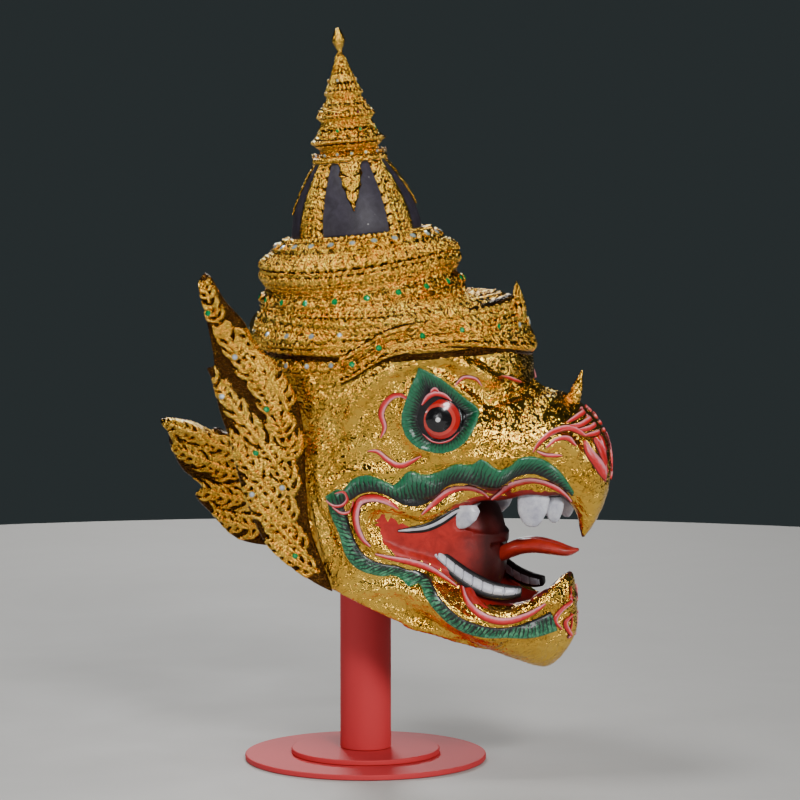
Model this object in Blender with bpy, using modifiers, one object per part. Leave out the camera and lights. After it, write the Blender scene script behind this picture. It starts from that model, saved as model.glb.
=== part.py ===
"""Garuda mask with a tall tiered crown, resting on a turned red stand.

The mask faces along -Y and its crown rises along +Z. The origin is the centre of the
underside of the stand. In the lists below a place on the side view is a pair: how far
forward of the stand's axis (towards -Y), and how high above the table, in metres.
"""
import math

import bmesh
import bpy
from mathutils import Matrix, Vector
from mathutils.bvhtree import BVHTree

# Fit and walls
FIT_GAP = 0.0003
WALL = 0.006
MERGE_DISTANCE = 0.00002
SHELL_FACTOR_LIMIT = 2.0
FAR_OUTSIDE = 0.4

# Stand
BASE_RADIUS = 0.113
BASE_THICKNESS = 0.005
COLLAR_RADIUS = 0.0695
COLLAR_THICKNESS = 0.005
POST_RADIUS = 0.02375
STAND_SEGMENTS = 28
EDGE_ROUND = 0.001

# Crown: the axis leans back about the pivot, a point on the axis inside the second tier
CROWN_PIVOT_FORWARD = -0.003
CROWN_PIVOT_HEIGHT = 0.441
CROWN_LEAN = math.radians(5.7)
TIER_SIDE_DIP = 0.010
TIER_DIP_FADE = 0.020
TIER_SEGMENTS = 24
CROWN_SEAT = 0.052
DOME_HEIGHT = 0.066
DOME_BASE_RADIUS = 0.0605
DOME_TOP_RADIUS = 0.033
DOME_FULLNESS = 1.7
DOME_SEGMENTS = 32
DOME_ROWS = 5
RIB_RAISE = 0.0022
RIB_HALF_ANGLE = math.radians(15)
RIB_COUNT = 4
LANCET_LENGTH = 0.044
LANCET_HALF_ANGLE = math.radians(21)
PANEL_TURN = math.radians(18)
SPIRE_SEGMENTS = 14

# Turned tiers, radius and height over the pivot, from the seat of the dome down
TIER_PROFILE = (
    (0.0, CROWN_SEAT), (0.066, CROWN_SEAT), (0.0755, 0.046), (0.0855, 0.036),
    (0.0905, 0.031), (0.0925, 0.023), (0.0900, 0.015), (0.0862, 0.010),
    (0.0915, 0.005), (0.0945, -0.002), (0.0940, -0.009), (0.0892, -0.016),
    (0.0990, -0.021), (0.1065, -0.028), (0.1070, -0.037), (0.1020, -0.043),
    (0.1055, -0.049), (0.1065, -0.058), (0.0990, -0.067), (0.0, -0.067),
)
# Spire, radius and height over the top of the dome
SPIRE_PROFILE = (
    (0.0, 0.124), (0.0030, 0.122), (0.0062, 0.113), (0.0048, 0.108), (0.0028, 0.104),
    (0.0030, 0.100), (0.0060, 0.092), (0.0085, 0.085), (0.0125, 0.072), (0.0172, 0.064),
    (0.0145, 0.060), (0.0200, 0.052), (0.0262, 0.043), (0.0215, 0.038), (0.0275, 0.026),
    (0.0335, 0.020), (0.0262, 0.013), (0.0270, 0.009), (0.0335, 0.005), (0.0335, 0.0),
    (0.0, 0.0),
)

# Head ribs: back place, front place, half width, fullness of the back and of the front
HEAD_SIDES = 22
HEAD_RIBS = (
    ((-0.088, 0.430), (0.112, 0.437), 0.088, 2.0, 2.0),
    ((-0.107, 0.412), (0.140, 0.427), 0.102, 2.0, 2.0),
    ((-0.113, 0.382), (0.156, 0.397), 0.107, 2.0, 2.0),
    ((-0.114, 0.348), (0.160, 0.360), 0.106, 2.0, 2.0),
    ((-0.113, 0.314), (0.158, 0.318), 0.102, 2.0, 2.0),
    ((-0.110, 0.286), (0.150, 0.275), 0.100, 2.0, 1.9),
    ((-0.107, 0.264), (0.142, 0.243), 0.099, 2.0, 1.7),
    ((-0.103, 0.248), (0.138, 0.210), 0.098, 2.0, 1.6),
    ((-0.099, 0.234), (0.136, 0.178), 0.097, 2.0, 1.6),
    ((-0.096, 0.223), (0.140, 0.146), 0.095, 2.0, 1.8),
    ((-0.093, 0.211), (0.138, 0.110), 0.091, 2.0, 2.0),
)
# The post meets the flat ceiling of the hollow
CEILING_RISE = 0.011
CEILING_HEIGHT = CROWN_PIVOT_HEIGHT + CEILING_RISE
CEILING_RADIUS = 0.060
# The hollow ends behind the brow, and farther back behind the mouth
BROW_HOLLOW_FRONT = 0.122
MOUTH_HOLLOW_FRONT = 0.086
MOUTH_TOP_HEIGHT = 0.290
HOLLOW_SIDES = 16

# Beak ribs: ridge place, lip place, half width, fullness of the ridge and of the lip
BEAK_SIDES = 16
BEAK_RIBS = (
    ((0.050, 0.374), (0.030, 0.262), 0.086, 2.0, 2.4),
    ((0.100, 0.366), (0.080, 0.256), 0.088, 2.0, 2.6),
    ((0.135, 0.358), (0.115, 0.256), 0.083, 1.9, 2.8),
    ((0.165, 0.352), (0.147, 0.259), 0.072, 1.8, 2.8),
    ((0.190, 0.351), (0.170, 0.261), 0.060, 1.8, 2.8),
    ((0.207, 0.341), (0.187, 0.258), 0.050, 1.8, 2.6),
    ((0.222, 0.327), (0.197, 0.252), 0.040, 1.9, 2.4),
    ((0.234, 0.305), (0.203, 0.245), 0.030, 2.0, 2.2),
    ((0.237, 0.280), (0.206, 0.237), 0.021, 2.0, 2.0),
    ((0.233, 0.256), (0.207, 0.230), 0.014, 2.0, 2.0),
    ((0.224, 0.236), (0.208, 0.222), 0.008, 2.0, 2.0),
    ((0.213, 0.219), (0.209, 0.216), 0.003, 2.0, 2.0),
)
# Palate cut into the underside of the beak, and trough cut into the lower jaw
PALATE_DROP = 0.016
PALATE_RISE = 0.024
PALATE_RIBS = ((0.100, 0.235), (0.130, 0.235), (0.160, 0.238), (0.185, 0.238), (0.199, 0.232))
PALATE_HALF_WIDTHS = (0.058, 0.058, 0.050, 0.034, 0.014)

# Lower jaw ribs: lip place, underside place, half width, fullness of the lip and underside
JAW_SIDES = 14
JAW_RIBS = (
    ((0.010, 0.236), (0.010, 0.172), 0.092, 2.2, 2.2),
    ((0.055, 0.205), (0.050, 0.152), 0.092, 2.4, 2.2),
    ((0.090, 0.188), (0.084, 0.136), 0.088, 2.6, 2.2),
    ((0.122, 0.172), (0.114, 0.121), 0.080, 2.6, 2.2),
    ((0.148, 0.163), (0.140, 0.109), 0.068, 2.6, 2.2),
    ((0.170, 0.166), (0.160, 0.100), 0.054, 2.4, 2.0),
    ((0.186, 0.177), (0.176, 0.096), 0.038, 2.2, 2.0),
    ((0.196, 0.186), (0.188, 0.104), 0.024, 2.0, 2.0),
    ((0.201, 0.182), (0.199, 0.118), 0.013, 2.0, 2.0),
    ((0.204, 0.162), (0.205, 0.132), 0.005, 2.0, 2.0),
)
BOWL_SIDES = 10
BOWL_FULLNESS = 2.2
TROUGH_RIBS = ((0.102, 0.203), (0.122, 0.196), (0.145, 0.190), (0.170, 0.192), (0.189, 0.200))
TROUGH_DROPS = (0.022, 0.036, 0.046, 0.044, 0.018)
TROUGH_RISE = 0.020
TROUGH_HALF_WIDTHS = (0.060, 0.058, 0.048, 0.032, 0.012)
# Back of the mouth, which narrows forwards to the root of the tongue: top, bottom, half width
MOUTH_BACK_SIDES = 10
MOUTH_BACK_FULLNESS = 2.4
MOUTH_BACK_RIBS = (
    ((0.095, 0.266), (0.095, 0.146), 0.062),
    ((0.111, 0.260), (0.112, 0.150), 0.050),
    ((0.124, 0.247), (0.126, 0.164), 0.033),
    ((0.133, 0.228), (0.134, 0.182), 0.016),
)

# Raised bands laid on both sides of the face: their middle lines
BAND_SIDES = 5
BAND_END = 0.55
BAND_END_STEP = 0.15
LIP_LINE = (
    (0.206, 0.256), (0.190, 0.266), (0.167, 0.268), (0.148, 0.262), (0.127, 0.262), (0.106, 0.260),
    (0.086, 0.246), (0.062, 0.252), (0.040, 0.254), (0.028, 0.240), (0.034, 0.221), (0.054, 0.206),
    (0.078, 0.197), (0.097, 0.187), (0.114, 0.172), (0.131, 0.156), (0.148, 0.148), (0.167, 0.152),
    (0.184, 0.166), (0.196, 0.181),
)
LIP_WIDTH = 0.016
LIP_RAISE = 0.007
BAND_LINE = (
    (0.206, 0.270), (0.190, 0.282), (0.168, 0.284), (0.150, 0.277), (0.128, 0.280), (0.104, 0.276),
    (0.086, 0.268), (0.072, 0.273), (0.054, 0.268), (0.034, 0.270), (0.012, 0.259), (0.008, 0.236),
    (0.018, 0.212), (0.032, 0.198), (0.056, 0.190), (0.082, 0.180), (0.100, 0.162), (0.118, 0.147),
    (0.138, 0.137), (0.160, 0.136), (0.186, 0.136),
)
BAND_WIDTH = 0.019
BAND_RAISE = 0.0045
EYE_LINE = (
    (0.083, 0.378), (0.104, 0.368), (0.122, 0.352), (0.133, 0.338), (0.131, 0.320), (0.114, 0.305),
    (0.094, 0.302), (0.077, 0.310), (0.069, 0.328), (0.073, 0.352),
)
EYE_RIM_WIDTH = 0.012
EYE_RIM_RAISE = 0.0055
EYE_PLACE = (0.100, 0.332)
EYE_RADIUS = 0.027
EYE_BULGE = 0.007
EYE_SEGMENTS = 10
BROW_LINE = (
    (0.056, 0.384), (0.078, 0.394), (0.100, 0.390), (0.122, 0.378), (0.140, 0.364), (0.152, 0.358),
)
BROW_WIDTH = 0.020
BROW_RAISE = 0.008
NOSTRIL_LINE = ((0.182, 0.293), (0.192, 0.310), (0.204, 0.312), (0.213, 0.302), (0.212, 0.290))
NOSTRIL_WIDTH = 0.014
NOSTRIL_RAISE = 0.006

# Tiara: lower and upper edge by the angle from the front round the head
TIARA_STATIONS = 8
TIARA_END_ANGLE = math.radians(86)
TIARA_LOWER = (0.384, 0.392, 0.396, 0.386, 0.362)
TIARA_UPPER = (0.440, 0.434, 0.424, 0.414, 0.390)
TIARA_STAND = 0.007
TIARA_MIDDLE_STAND = 0.0042
TIARA_SINK = 0.0035
TIARA_LEVELS = 4
SKULL_TOP_MARGIN = 0.005
SKULL_TOP_HEIGHT = HEAD_RIBS[0][0][1] - SKULL_TOP_MARGIN
TIARA_AXIS_FORWARD = 0.005
BUD_PLACE = (0.150, 0.452)
BUD_HEIGHT = 0.040
BUD_RADIUS = 0.009
BUD_SIDES = 10
BUD_FLATTEN = 0.7
BUD_LEAN = 0.004
BUD_PROFILE = ((0.0, 0.5), (0.2, 1.0), (0.45, 1.1), (0.7, 0.7), (0.9, 0.3), (1.0, 0.08))

# Ear ornament: outline on the side view, a plate that flares outwards and back
EAR_OUTLINE = (
    (-0.104, 0.464), (-0.109, 0.454), (-0.104, 0.424), (-0.098, 0.382), (-0.104, 0.377),
    (-0.100, 0.366), (-0.096, 0.346), (-0.093, 0.333), (-0.086, 0.310), (-0.080, 0.280),
    (-0.072, 0.252), (-0.059, 0.219), (-0.041, 0.198), (-0.017, 0.180), (-0.001, 0.171),
    (-0.010, 0.200), (-0.019, 0.230), (-0.022, 0.270), (-0.023, 0.320), (-0.030, 0.354),
    (-0.045, 0.381), (-0.062, 0.399), (-0.073, 0.420), (-0.089, 0.440), (-0.099, 0.459),
)
EAR_STAND = 0.1035
EAR_FLARE = 0.36
EAR_RISE = 0.05
EAR_HINGE_FORWARD = -0.012
EAR_HINGE_HEIGHT = 0.300
EAR_THICKNESS = 0.009
EAR_RELIEF = 0.004
EAR_RIDGES = (
    ((-0.032, 0.300), (-0.050, 0.345), (-0.075, 0.385), (-0.096, 0.425), (-0.105, 0.458)),
    ((-0.030, 0.270), (-0.050, 0.300), (-0.075, 0.335), (-0.099, 0.366)),
    ((-0.030, 0.240), (-0.048, 0.262), (-0.068, 0.290), (-0.086, 0.316)),
    ((-0.024, 0.215), (-0.038, 0.226), (-0.056, 0.245), (-0.072, 0.268)),
    ((-0.036, 0.345), (-0.046, 0.368), (-0.060, 0.390), (-0.070, 0.414)),
)
RIDGE_WIDTH = 0.014
RIDGE_RAISE = 0.005
RIDGE_TIP = 0.25
RIDGE_STAND = 0.002
# Steps from the middle of a plate to its rim: share of the way out, and share of the relief
CARVED_STEPS = ((0.12, 0.85), (0.38, 0.75), (0.62, 0.5), (0.86, 0.62), (1.0, 0.5), (1.0, 0.30))
PLAIN_STEPS = ((0.3, 0.6), (1.0, 0.30))

# Nape ornament: outline in the middle plane, three flame points
NAPE_OUTLINE = (
    (-0.104, 0.300), (-0.140, 0.303), (-0.149, 0.307), (-0.155, 0.301), (-0.166, 0.308),
    (-0.180, 0.313), (-0.204, 0.313), (-0.196, 0.300), (-0.195, 0.290), (-0.183, 0.267),
    (-0.163, 0.252), (-0.169, 0.241), (-0.153, 0.225), (-0.128, 0.203), (-0.098, 0.197),
    (-0.092, 0.220), (-0.100, 0.250),
)
NAPE_THICKNESS = 0.012
NAPE_RELIEF = 0.004
NAPE_RIDGES = (
    ((-0.112, 0.266), (-0.140, 0.284), (-0.170, 0.298), (-0.198, 0.310)),
    ((-0.112, 0.246), (-0.138, 0.260), (-0.165, 0.274), (-0.188, 0.286)),
    ((-0.110, 0.224), (-0.130, 0.230), (-0.148, 0.238), (-0.165, 0.242)),
)

# Tongue: middle line, half thickness and half width
TONGUE_LINE = (
    (0.093, 0.194), (0.112, 0.195), (0.131, 0.199), (0.140, 0.203), (0.152, 0.209),
    (0.166, 0.211), (0.182, 0.207), (0.196, 0.203), (0.206, 0.206),
)
TONGUE_HALF_THICKNESS = (0.0070, 0.0072, 0.0075, 0.0078, 0.0080, 0.0075, 0.0062, 0.0045, 0.0015)
TONGUE_HALF_WIDTH = (0.009, 0.0095, 0.010, 0.012, 0.014, 0.014, 0.012, 0.009, 0.003)
TONGUE_SIDES = 10

# Horn on the ridge of the beak
HORN_PLACE = (0.200, 0.345)
HORN_TIP = (0.209, 0.372)
HORN_RADIUS = 0.007
HORN_SIDES = 12
HORN_SINK = 0.004
# Share of the height, and share of the radius there
HORN_PROFILE = ((0.0, 1.0), (0.3, 0.92), (0.6, 0.62), (0.85, 0.28), (1.0, 0.06))

# Teeth under the upper lip: place of the root, height, half width along and across the lip
TEETH = {
    "tooth_molar": ((0.107, 0.244), 0.022, 0.019, 0.007),
    "tooth_fang": ((0.172, 0.256), 0.026, 0.014, 0.007),
    "tooth_front": ((0.191, 0.249), 0.016, 0.0075, 0.005),
}
TOOTH_SIDES = 8
TOOTH_SINK = 0.006
TOOTH_COVER = 0.004
LIP_HEIGHT_OVER_ROOT = 0.014
TOOTH_PROFILE = ((0.0, 0.92), (0.25, 1.0), (0.6, 0.86), (0.85, 0.6), (1.0, 0.3))

COLOURS = {
    "gold": ((0.83, 0.58, 0.17), 0.28, 1.0),
    "black": ((0.03, 0.025, 0.03), 0.6, 0.0),
    "red": ((0.62, 0.03, 0.04), 0.6, 0.0),
    "tongue_red": ((0.55, 0.06, 0.04), 0.45, 0.0),
    "white": ((0.85, 0.85, 0.83), 0.4, 0.0),
}


def clear_scene():
    for item in list(bpy.data.objects):
        bpy.data.objects.remove(item, do_unlink=True)


def new_collection(name):
    collection = bpy.data.collections.new(name)
    bpy.context.scene.collection.children.link(collection)
    return collection


def new_material(name):
    colour, roughness, metallic = COLOURS[name]
    material = bpy.data.materials.new(name)
    material.use_nodes = True
    shader = material.node_tree.nodes["Principled BSDF"]
    shader.inputs["Base Color"].default_value = (*colour, 1.0)
    shader.inputs["Roughness"].default_value = roughness
    shader.inputs["Metallic"].default_value = metallic
    return material


def place(forward, height, across=0.0):
    """World point of a place on the side view."""
    return Vector((across, -forward, height))


def mesh_object(name, points, faces, collection):
    mesh = bpy.data.meshes.new(name)
    mesh.from_pydata([tuple(point) for point in points], [], faces)
    item = bpy.data.objects.new(name, mesh)
    collection.objects.link(item)
    tidy_mesh(item)
    return item


def tidy_mesh(item):
    """Weld doubles and point every face outwards."""
    work = bmesh.new()
    work.from_mesh(item.data)
    bmesh.ops.remove_doubles(work, verts=work.verts, dist=MERGE_DISTANCE)
    bmesh.ops.recalc_face_normals(work, faces=work.faces)
    work.to_mesh(item.data)
    work.free()


def loft(name, rings, collection, closed_path=False):
    """Skin over rings of equal count, capped at both ends unless the path is closed."""
    count = len(rings[0])
    points = [point for ring in rings for point in ring]
    faces = []
    steps = len(rings) if closed_path else len(rings) - 1
    for ring in range(steps):
        here = ring * count
        there = ((ring + 1) % len(rings)) * count
        for side in range(count):
            turn = (side + 1) % count
            faces.append((here + side, here + turn, there + turn, there + side))
    if not closed_path:
        faces.append(tuple(reversed(range(count))))
        faces.append(tuple(range(len(points) - count, len(points))))
    return mesh_object(name, points, faces, collection)


def catmull_rom(before, start, end, after, share):
    """Value at a share of the way from start to end on a smooth curve."""
    slope_in = (end - before) * 0.5
    slope_out = (after - start) * 0.5
    squared = share * share
    cubed = squared * share
    return (start * (2 * cubed - 3 * squared + 1) + slope_in * (cubed - 2 * squared + share)
            + end * (3 * squared - 2 * cubed) + slope_out * (cubed - squared))


def smooth_rows(rows, parts, closed=False):
    """Rows of numbers with parts - 1 smooth rows added between each two."""
    count = len(rows)
    result = []
    last = count if closed else count - 1
    for index in range(last):
        around = []
        for offset in (-1, 0, 1, 2):
            at = index + offset
            around.append(rows[at % count] if closed else rows[min(max(at, 0), count - 1)])
        for part in range(parts):
            share = part / parts
            result.append([catmull_rom(a, b, c, d, share) for a, b, c, d in zip(*around)])
    if not closed:
        result.append(list(rows[-1]))
    return result


def round_power(value, fullness):
    return math.copysign(abs(value) ** (2.0 / fullness), value)


def rib_ring(first, second, half_width, first_fullness, second_fullness, sides, inset=0.0):
    """Closed ring through two places of the middle plane, with its own fullness at each."""
    first_point = place(*first)
    second_point = place(*second)
    middle = (first_point + second_point) * 0.5
    reach = (first_point - second_point).length * 0.5 - inset
    along = (first_point - second_point).normalized()
    ring = []
    for side in range(sides):
        angle = 2 * math.pi * side / sides
        fullness = first_fullness if math.cos(angle) >= 0 else second_fullness
        step = along * (reach * round_power(math.cos(angle), fullness))
        across = (half_width - inset) * round_power(math.sin(angle), fullness)
        ring.append(middle + step + Vector((across, 0.0, 0.0)))
    return ring


def rib_loft(name, ribs, sides, collection, parts=1):
    """Skin over ribs that are given by two places, a half width and two fullnesses."""
    rows = [(*rib[0], *rib[1], rib[2], rib[3], rib[4]) for rib in ribs]
    rings = []
    for row in smooth_rows(rows, parts):
        rings.append(rib_ring(row[0:2], row[2:4], row[4], row[5], row[6], sides))
    return loft(name, rings, collection)


def crown_matrix():
    """Turn from the crown's own upright axis into the leaning axis of the mask."""
    pivot = place(CROWN_PIVOT_FORWARD, CROWN_PIVOT_HEIGHT)
    return Matrix.Translation(pivot) @ Matrix.Rotation(-CROWN_LEAN, 4, "X")


def evaluated_copy(item, collection):
    """Plain mesh copy of an object with its modifiers and place applied."""
    graph = bpy.context.evaluated_depsgraph_get()
    mesh = bpy.data.meshes.new_from_object(item.evaluated_get(graph))
    mesh.transform(item.matrix_world)
    copy = bpy.data.objects.new(item.name + "_applied", mesh)
    collection.objects.link(copy)
    tidy_mesh(copy)
    return copy


def turned(name, profile, segments, collection):
    """Turned solid from radius and height pairs that run down the outer side."""
    mesh = bpy.data.meshes.new(name)
    points = [(radius, 0.0, height) for radius, height in profile]
    edges = [(index, index + 1) for index in range(len(points) - 1)]
    mesh.from_pydata(points, edges, [])
    item = bpy.data.objects.new(name, mesh)
    collection.objects.link(item)
    screw = item.modifiers.new("turn", "SCREW")
    screw.steps = segments
    screw.render_steps = segments
    screw.use_merge_vertices = True
    screw.merge_threshold = 0.0001
    return item


def cut_or_join(item, tool, operation, solver="EXACT"):
    """Boolean with another object, which then stays behind as a hidden guide."""
    boolean = item.modifiers.new(operation.lower(), "BOOLEAN")
    boolean.operation = operation
    boolean.solver = solver
    boolean.object = tool
    tool.hide_render = True
    tool.display_type = "WIRE"
    bpy.context.view_layer.update()
    apply_modifiers(item)


def apply_modifiers(item):
    """Write what the modifiers make into the mesh itself."""
    graph = bpy.context.evaluated_depsgraph_get()
    mesh = bpy.data.meshes.new_from_object(item.evaluated_get(graph))
    old_mesh = item.data
    item.modifiers.clear()
    item.data = mesh
    bpy.data.meshes.remove(old_mesh)


def fill_pockets(item):
    """Close the small pockets that stay inside where raised bands meet, keeping the main skin."""
    work = bmesh.new()
    work.from_mesh(item.data)
    loose = set(work.verts)
    skins = []
    while loose:
        skin = {loose.pop()}
        edge_of_search = list(skin)
        while edge_of_search:
            point = edge_of_search.pop()
            near = {edge.other_vert(point) for edge in point.link_edges} & loose
            loose -= near
            skin |= near
            edge_of_search.extend(near)
        skins.append(skin)
    skins.sort(key=len)
    pockets = [point for skin in skins[:-1] for point in skin]
    bmesh.ops.delete(work, geom=pockets, context="VERTS")
    work.to_mesh(item.data)
    work.free()


def grown_copy(item, growth, collection):
    """Copy with every point moved outwards, to cut a seat with a gap around a piece."""
    copy = evaluated_copy(item, collection)
    copy.name = item.name + "_seat"
    work = bmesh.new()
    work.from_mesh(copy.data)
    work.normal_update()
    for point in work.verts:
        point.co += point.normal * (growth * min(point.calc_shell_factor(), SHELL_FACTOR_LIMIT))
    work.to_mesh(copy.data)
    work.free()
    return copy


def surface_tree(item):
    graph = bpy.context.evaluated_depsgraph_get()
    return BVHTree.FromObject(item.evaluated_get(graph), graph)


def surface_point(tree, forward, height, side):
    """Point and normal where a line across the mask first meets one side of it."""
    origin = place(forward, height, side * FAR_OUTSIDE)
    point, normal, _, _ = tree.ray_cast(origin, Vector((-side, 0.0, 0.0)))
    if point is None:
        nearest, normal, _, _ = tree.find_nearest(place(forward, height))
        return nearest, normal
    return point, normal


def band(name, tree, line, side, width, raise_by, collection, parts=1, closed=False):
    """Raised band of oval section laid along a line on one side of the face, with slim ends."""
    rows = smooth_rows(line, parts, closed)
    hits = [surface_point(tree, row[0], row[1], side) for row in rows]
    count = len(hits)
    rings = []
    for index, (point, normal) in enumerate(hits):
        before = hits[(index - 1) % count] if closed else hits[max(index - 1, 0)]
        after = hits[(index + 1) % count] if closed else hits[min(index + 1, count - 1)]
        middle = (before[0] + point + after[0]) / 3
        mean_normal = (before[1] + normal + after[1]).normalized()
        along = (after[0] - before[0]).normalized()
        across = mean_normal.cross(along).normalized()
        outward = along.cross(across).normalized()
        if outward.dot(mean_normal) < 0:
            outward.negate()
        taper = 1.0
        if not closed:
            taper = min(1.0, BAND_END + BAND_END_STEP * min(index, count - 1 - index))
        ring = []
        for step in range(BAND_SIDES):
            angle = 2 * math.pi * step / BAND_SIDES
            reach = across * (width * 0.5 * taper * math.cos(angle))
            rise = outward * (raise_by * taper * math.sin(angle))
            ring.append(middle + reach + rise)
        rings.append(ring)
    return loft(name, rings, collection, closed_path=closed)


def value_along(values, share):
    """Smooth value at a share of the way through a row of values."""
    place_in = share * (len(values) - 1)
    index = min(int(place_in), len(values) - 2)
    before = values[max(index - 1, 0)]
    after = values[min(index + 2, len(values) - 1)]
    return catmull_rom(before, values[index], values[index + 1], after, place_in - index)


def tiara_band(tree, collection):
    """Band round the forehead from temple to temple, standing off the head."""
    rings = []
    for station in range(-TIARA_STATIONS, TIARA_STATIONS + 1):
        share = abs(station) / TIARA_STATIONS
        angle = TIARA_END_ANGLE * station / TIARA_STATIONS
        outwards = Vector((math.sin(angle), -math.cos(angle), 0.0))
        axis = place(TIARA_AXIS_FORWARD, 0.0)
        lower = value_along(TIARA_LOWER, share)
        upper = value_along(TIARA_UPPER, share)
        front = []
        back = []
        for level in range(TIARA_LEVELS + 1):
            height = lower + (upper - lower) * level / TIARA_LEVELS
            reach = head_reach(tree, axis, outwards, min(height, SKULL_TOP_HEIGHT))
            rim = TIARA_STAND if level in (0, TIARA_LEVELS) else TIARA_MIDDLE_STAND
            front.append(axis + outwards * (reach + rim) + Vector((0, 0, height)))
            back.append(axis + outwards * (reach - TIARA_SINK) + Vector((0, 0, height)))
        rings.append(front + back[::-1])
    return loft("tiara_strip", rings, collection)


def head_reach(tree, axis, outwards, height):
    """How far the head reaches from an upright axis in one direction."""
    origin = axis + outwards * FAR_OUTSIDE + Vector((0, 0, height))
    point, _, _, _ = tree.ray_cast(origin, -outwards)
    flat = point - axis
    flat.z = 0.0
    return flat.length


def sunk_bowl(name, stations, drops, half_widths, rise, collection):
    """Trough or palate cutter: a row of ovals between an upper and a lower line."""
    ribs = []
    for (forward, height), drop, half_width in zip(stations, drops, half_widths):
        top = (forward, height + rise)
        bottom = (forward, height - drop)
        ribs.append((top, bottom, half_width, BOWL_FULLNESS, BOWL_FULLNESS))
    return rib_loft(name, ribs, BOWL_SIDES, collection)


def build_mouth_back(guides):
    fullness = (MOUTH_BACK_FULLNESS, MOUTH_BACK_FULLNESS)
    ribs = [(*rib, *fullness) for rib in MOUTH_BACK_RIBS]
    return rib_loft("mouth_back", ribs, MOUTH_BACK_SIDES, guides)


def plate(name, outline, surface, thickness, relief, back_steps, collection):
    """Carved plate: an outline with a raised, ribbed face, on a flared or flat surface."""
    middle_forward = sum(point[0] for point in outline) / len(outline)
    middle_height = sum(point[1] for point in outline) / len(outline)
    rings = []
    for sign in (-1, 1):
        for share, depth in (back_steps if sign < 0 else CARVED_STEPS[::-1]):
            ring = []
            raised = thickness * 0.5 * min(depth * 2, 1.0) + relief * max(depth - 0.5, 0.0) * 2
            for forward, height in outline:
                at = (middle_forward + (forward - middle_forward) * share,
                      middle_height + (height - middle_height) * share)
                ring.append(surface(at[0], at[1], sign * raised))
            rings.append(ring)
    return loft(name, rings, collection)


def plate_ridges(item, lines, surface, sign, depth, guides):
    """Curved flame ridges joined to one face of a plate, pointed at both ends."""
    for line in lines:
        rings = []
        for index, row in enumerate(line):
            before = line[max(index - 1, 0)]
            after = line[min(index + 1, len(line) - 1)]
            middle = surface(row[0], row[1], sign * depth)
            outward = (surface(row[0], row[1], sign * (depth + 0.001)) - middle).normalized()
            along = surface(after[0], after[1], sign * depth) - surface(before[0], before[1], sign * depth)
            across = outward.cross(along).normalized()
            swell = RIDGE_TIP + (1.0 - RIDGE_TIP) * math.sin(math.pi * index / (len(line) - 1))
            ring = []
            for step in range(BAND_SIDES):
                angle = 2 * math.pi * step / BAND_SIDES
                reach = across * (RIDGE_WIDTH * 0.5 * swell * math.cos(angle))
                ring.append(middle + reach + outward * (RIDGE_RAISE * swell * math.sin(angle)))
            rings.append(ring)
        cut_or_join(item, loft("flame_ridge", rings, guides), "UNION")


def ear_surface(side):
    """Place on the flared plane of an ear ornament, at a depth through its thickness."""
    def at(forward, height, depth):
        flare = EAR_FLARE * (EAR_HINGE_FORWARD - forward)
        across = EAR_STAND + flare + EAR_RISE * (height - EAR_HINGE_HEIGHT) + depth
        return place(forward, height, side * across)
    return at


def nape_surface(forward, height, depth):
    return place(forward, height, depth)


def build_dome(pieces):
    """Dome with raised ribs and hanging points, sealed on its flat seat and so solid."""
    rings = [dome_ring(row / DOME_ROWS) for row in range(DOME_ROWS + 1)]
    return loft("crown_dome", rings, pieces)


def dome_ring(share):
    """One level of the dome: a rounded shoulder, with ribs and points standing proud."""
    swell = 1.0 - share ** DOME_FULLNESS
    radius = DOME_TOP_RADIUS + (DOME_BASE_RADIUS - DOME_TOP_RADIUS) * swell
    height = DOME_HEIGHT * share
    ring = []
    for step in range(DOME_SEGMENTS):
        angle = 2 * math.pi * step / DOME_SEGMENTS
        reach = radius + dome_raise(angle, height)
        ring.append(Vector((reach * math.cos(angle), reach * math.sin(angle), height)))
    return ring


def dome_raise(angle, height):
    """Height of the gilt ribs, and of the points that hang between them."""
    pitch = 2 * math.pi / RIB_COUNT
    from_rib = abs((angle - PANEL_TURN) % pitch - pitch / 2)
    from_point = pitch / 2 - from_rib
    hang = (height - (DOME_HEIGHT - LANCET_LENGTH)) / LANCET_LENGTH
    if from_rib < RIB_HALF_ANGLE:
        return RIB_RAISE
    if hang > 0.0 and from_point < LANCET_HALF_ANGLE * hang:
        return RIB_RAISE
    return 0.0


def dip_sides(item):
    """Let the rings of the crown sag towards the ears."""
    widest = max(abs(point.co.x) for point in item.data.vertices)
    for point in item.data.vertices:
        fall = TIER_SIDE_DIP * (point.co.x / widest) ** 2
        keep = min(max((CROWN_SEAT - point.co.z) / TIER_DIP_FADE, 0.0), 1.0)
        point.co.z -= fall * keep


def build_crown(pieces, guides):
    leaning = crown_matrix()
    tiers = turned("tier_profile", TIER_PROFILE, TIER_SEGMENTS, guides)
    tier_solid = evaluated_copy(tiers, guides)
    bpy.data.objects.remove(tiers)
    dip_sides(tier_solid)
    tier_solid.data.transform(leaning)

    dome = build_dome(pieces)
    dome.data.transform(leaning @ Matrix.Translation((0, 0, CROWN_SEAT + FIT_GAP)))

    spire = turned("crown_spire", SPIRE_PROFILE, SPIRE_SEGMENTS, pieces)
    spire_seat = CROWN_SEAT + DOME_HEIGHT + 2 * FIT_GAP
    spire.matrix_world = leaning @ Matrix.Translation((0, 0, spire_seat))
    return tier_solid, dome, spire


def build_head_mass(guides):
    """Skull, beak and lower jaw joined into one solid."""
    head = rib_loft("mask_head", HEAD_RIBS, HEAD_SIDES, guides)
    beak = rib_loft("beak_mass", BEAK_RIBS, BEAK_SIDES, guides)
    jaw = rib_loft("jaw_mass", JAW_RIBS, JAW_SIDES, guides)
    cut_or_join(head, beak, "UNION")
    cut_or_join(head, jaw, "UNION")
    return head


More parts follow.
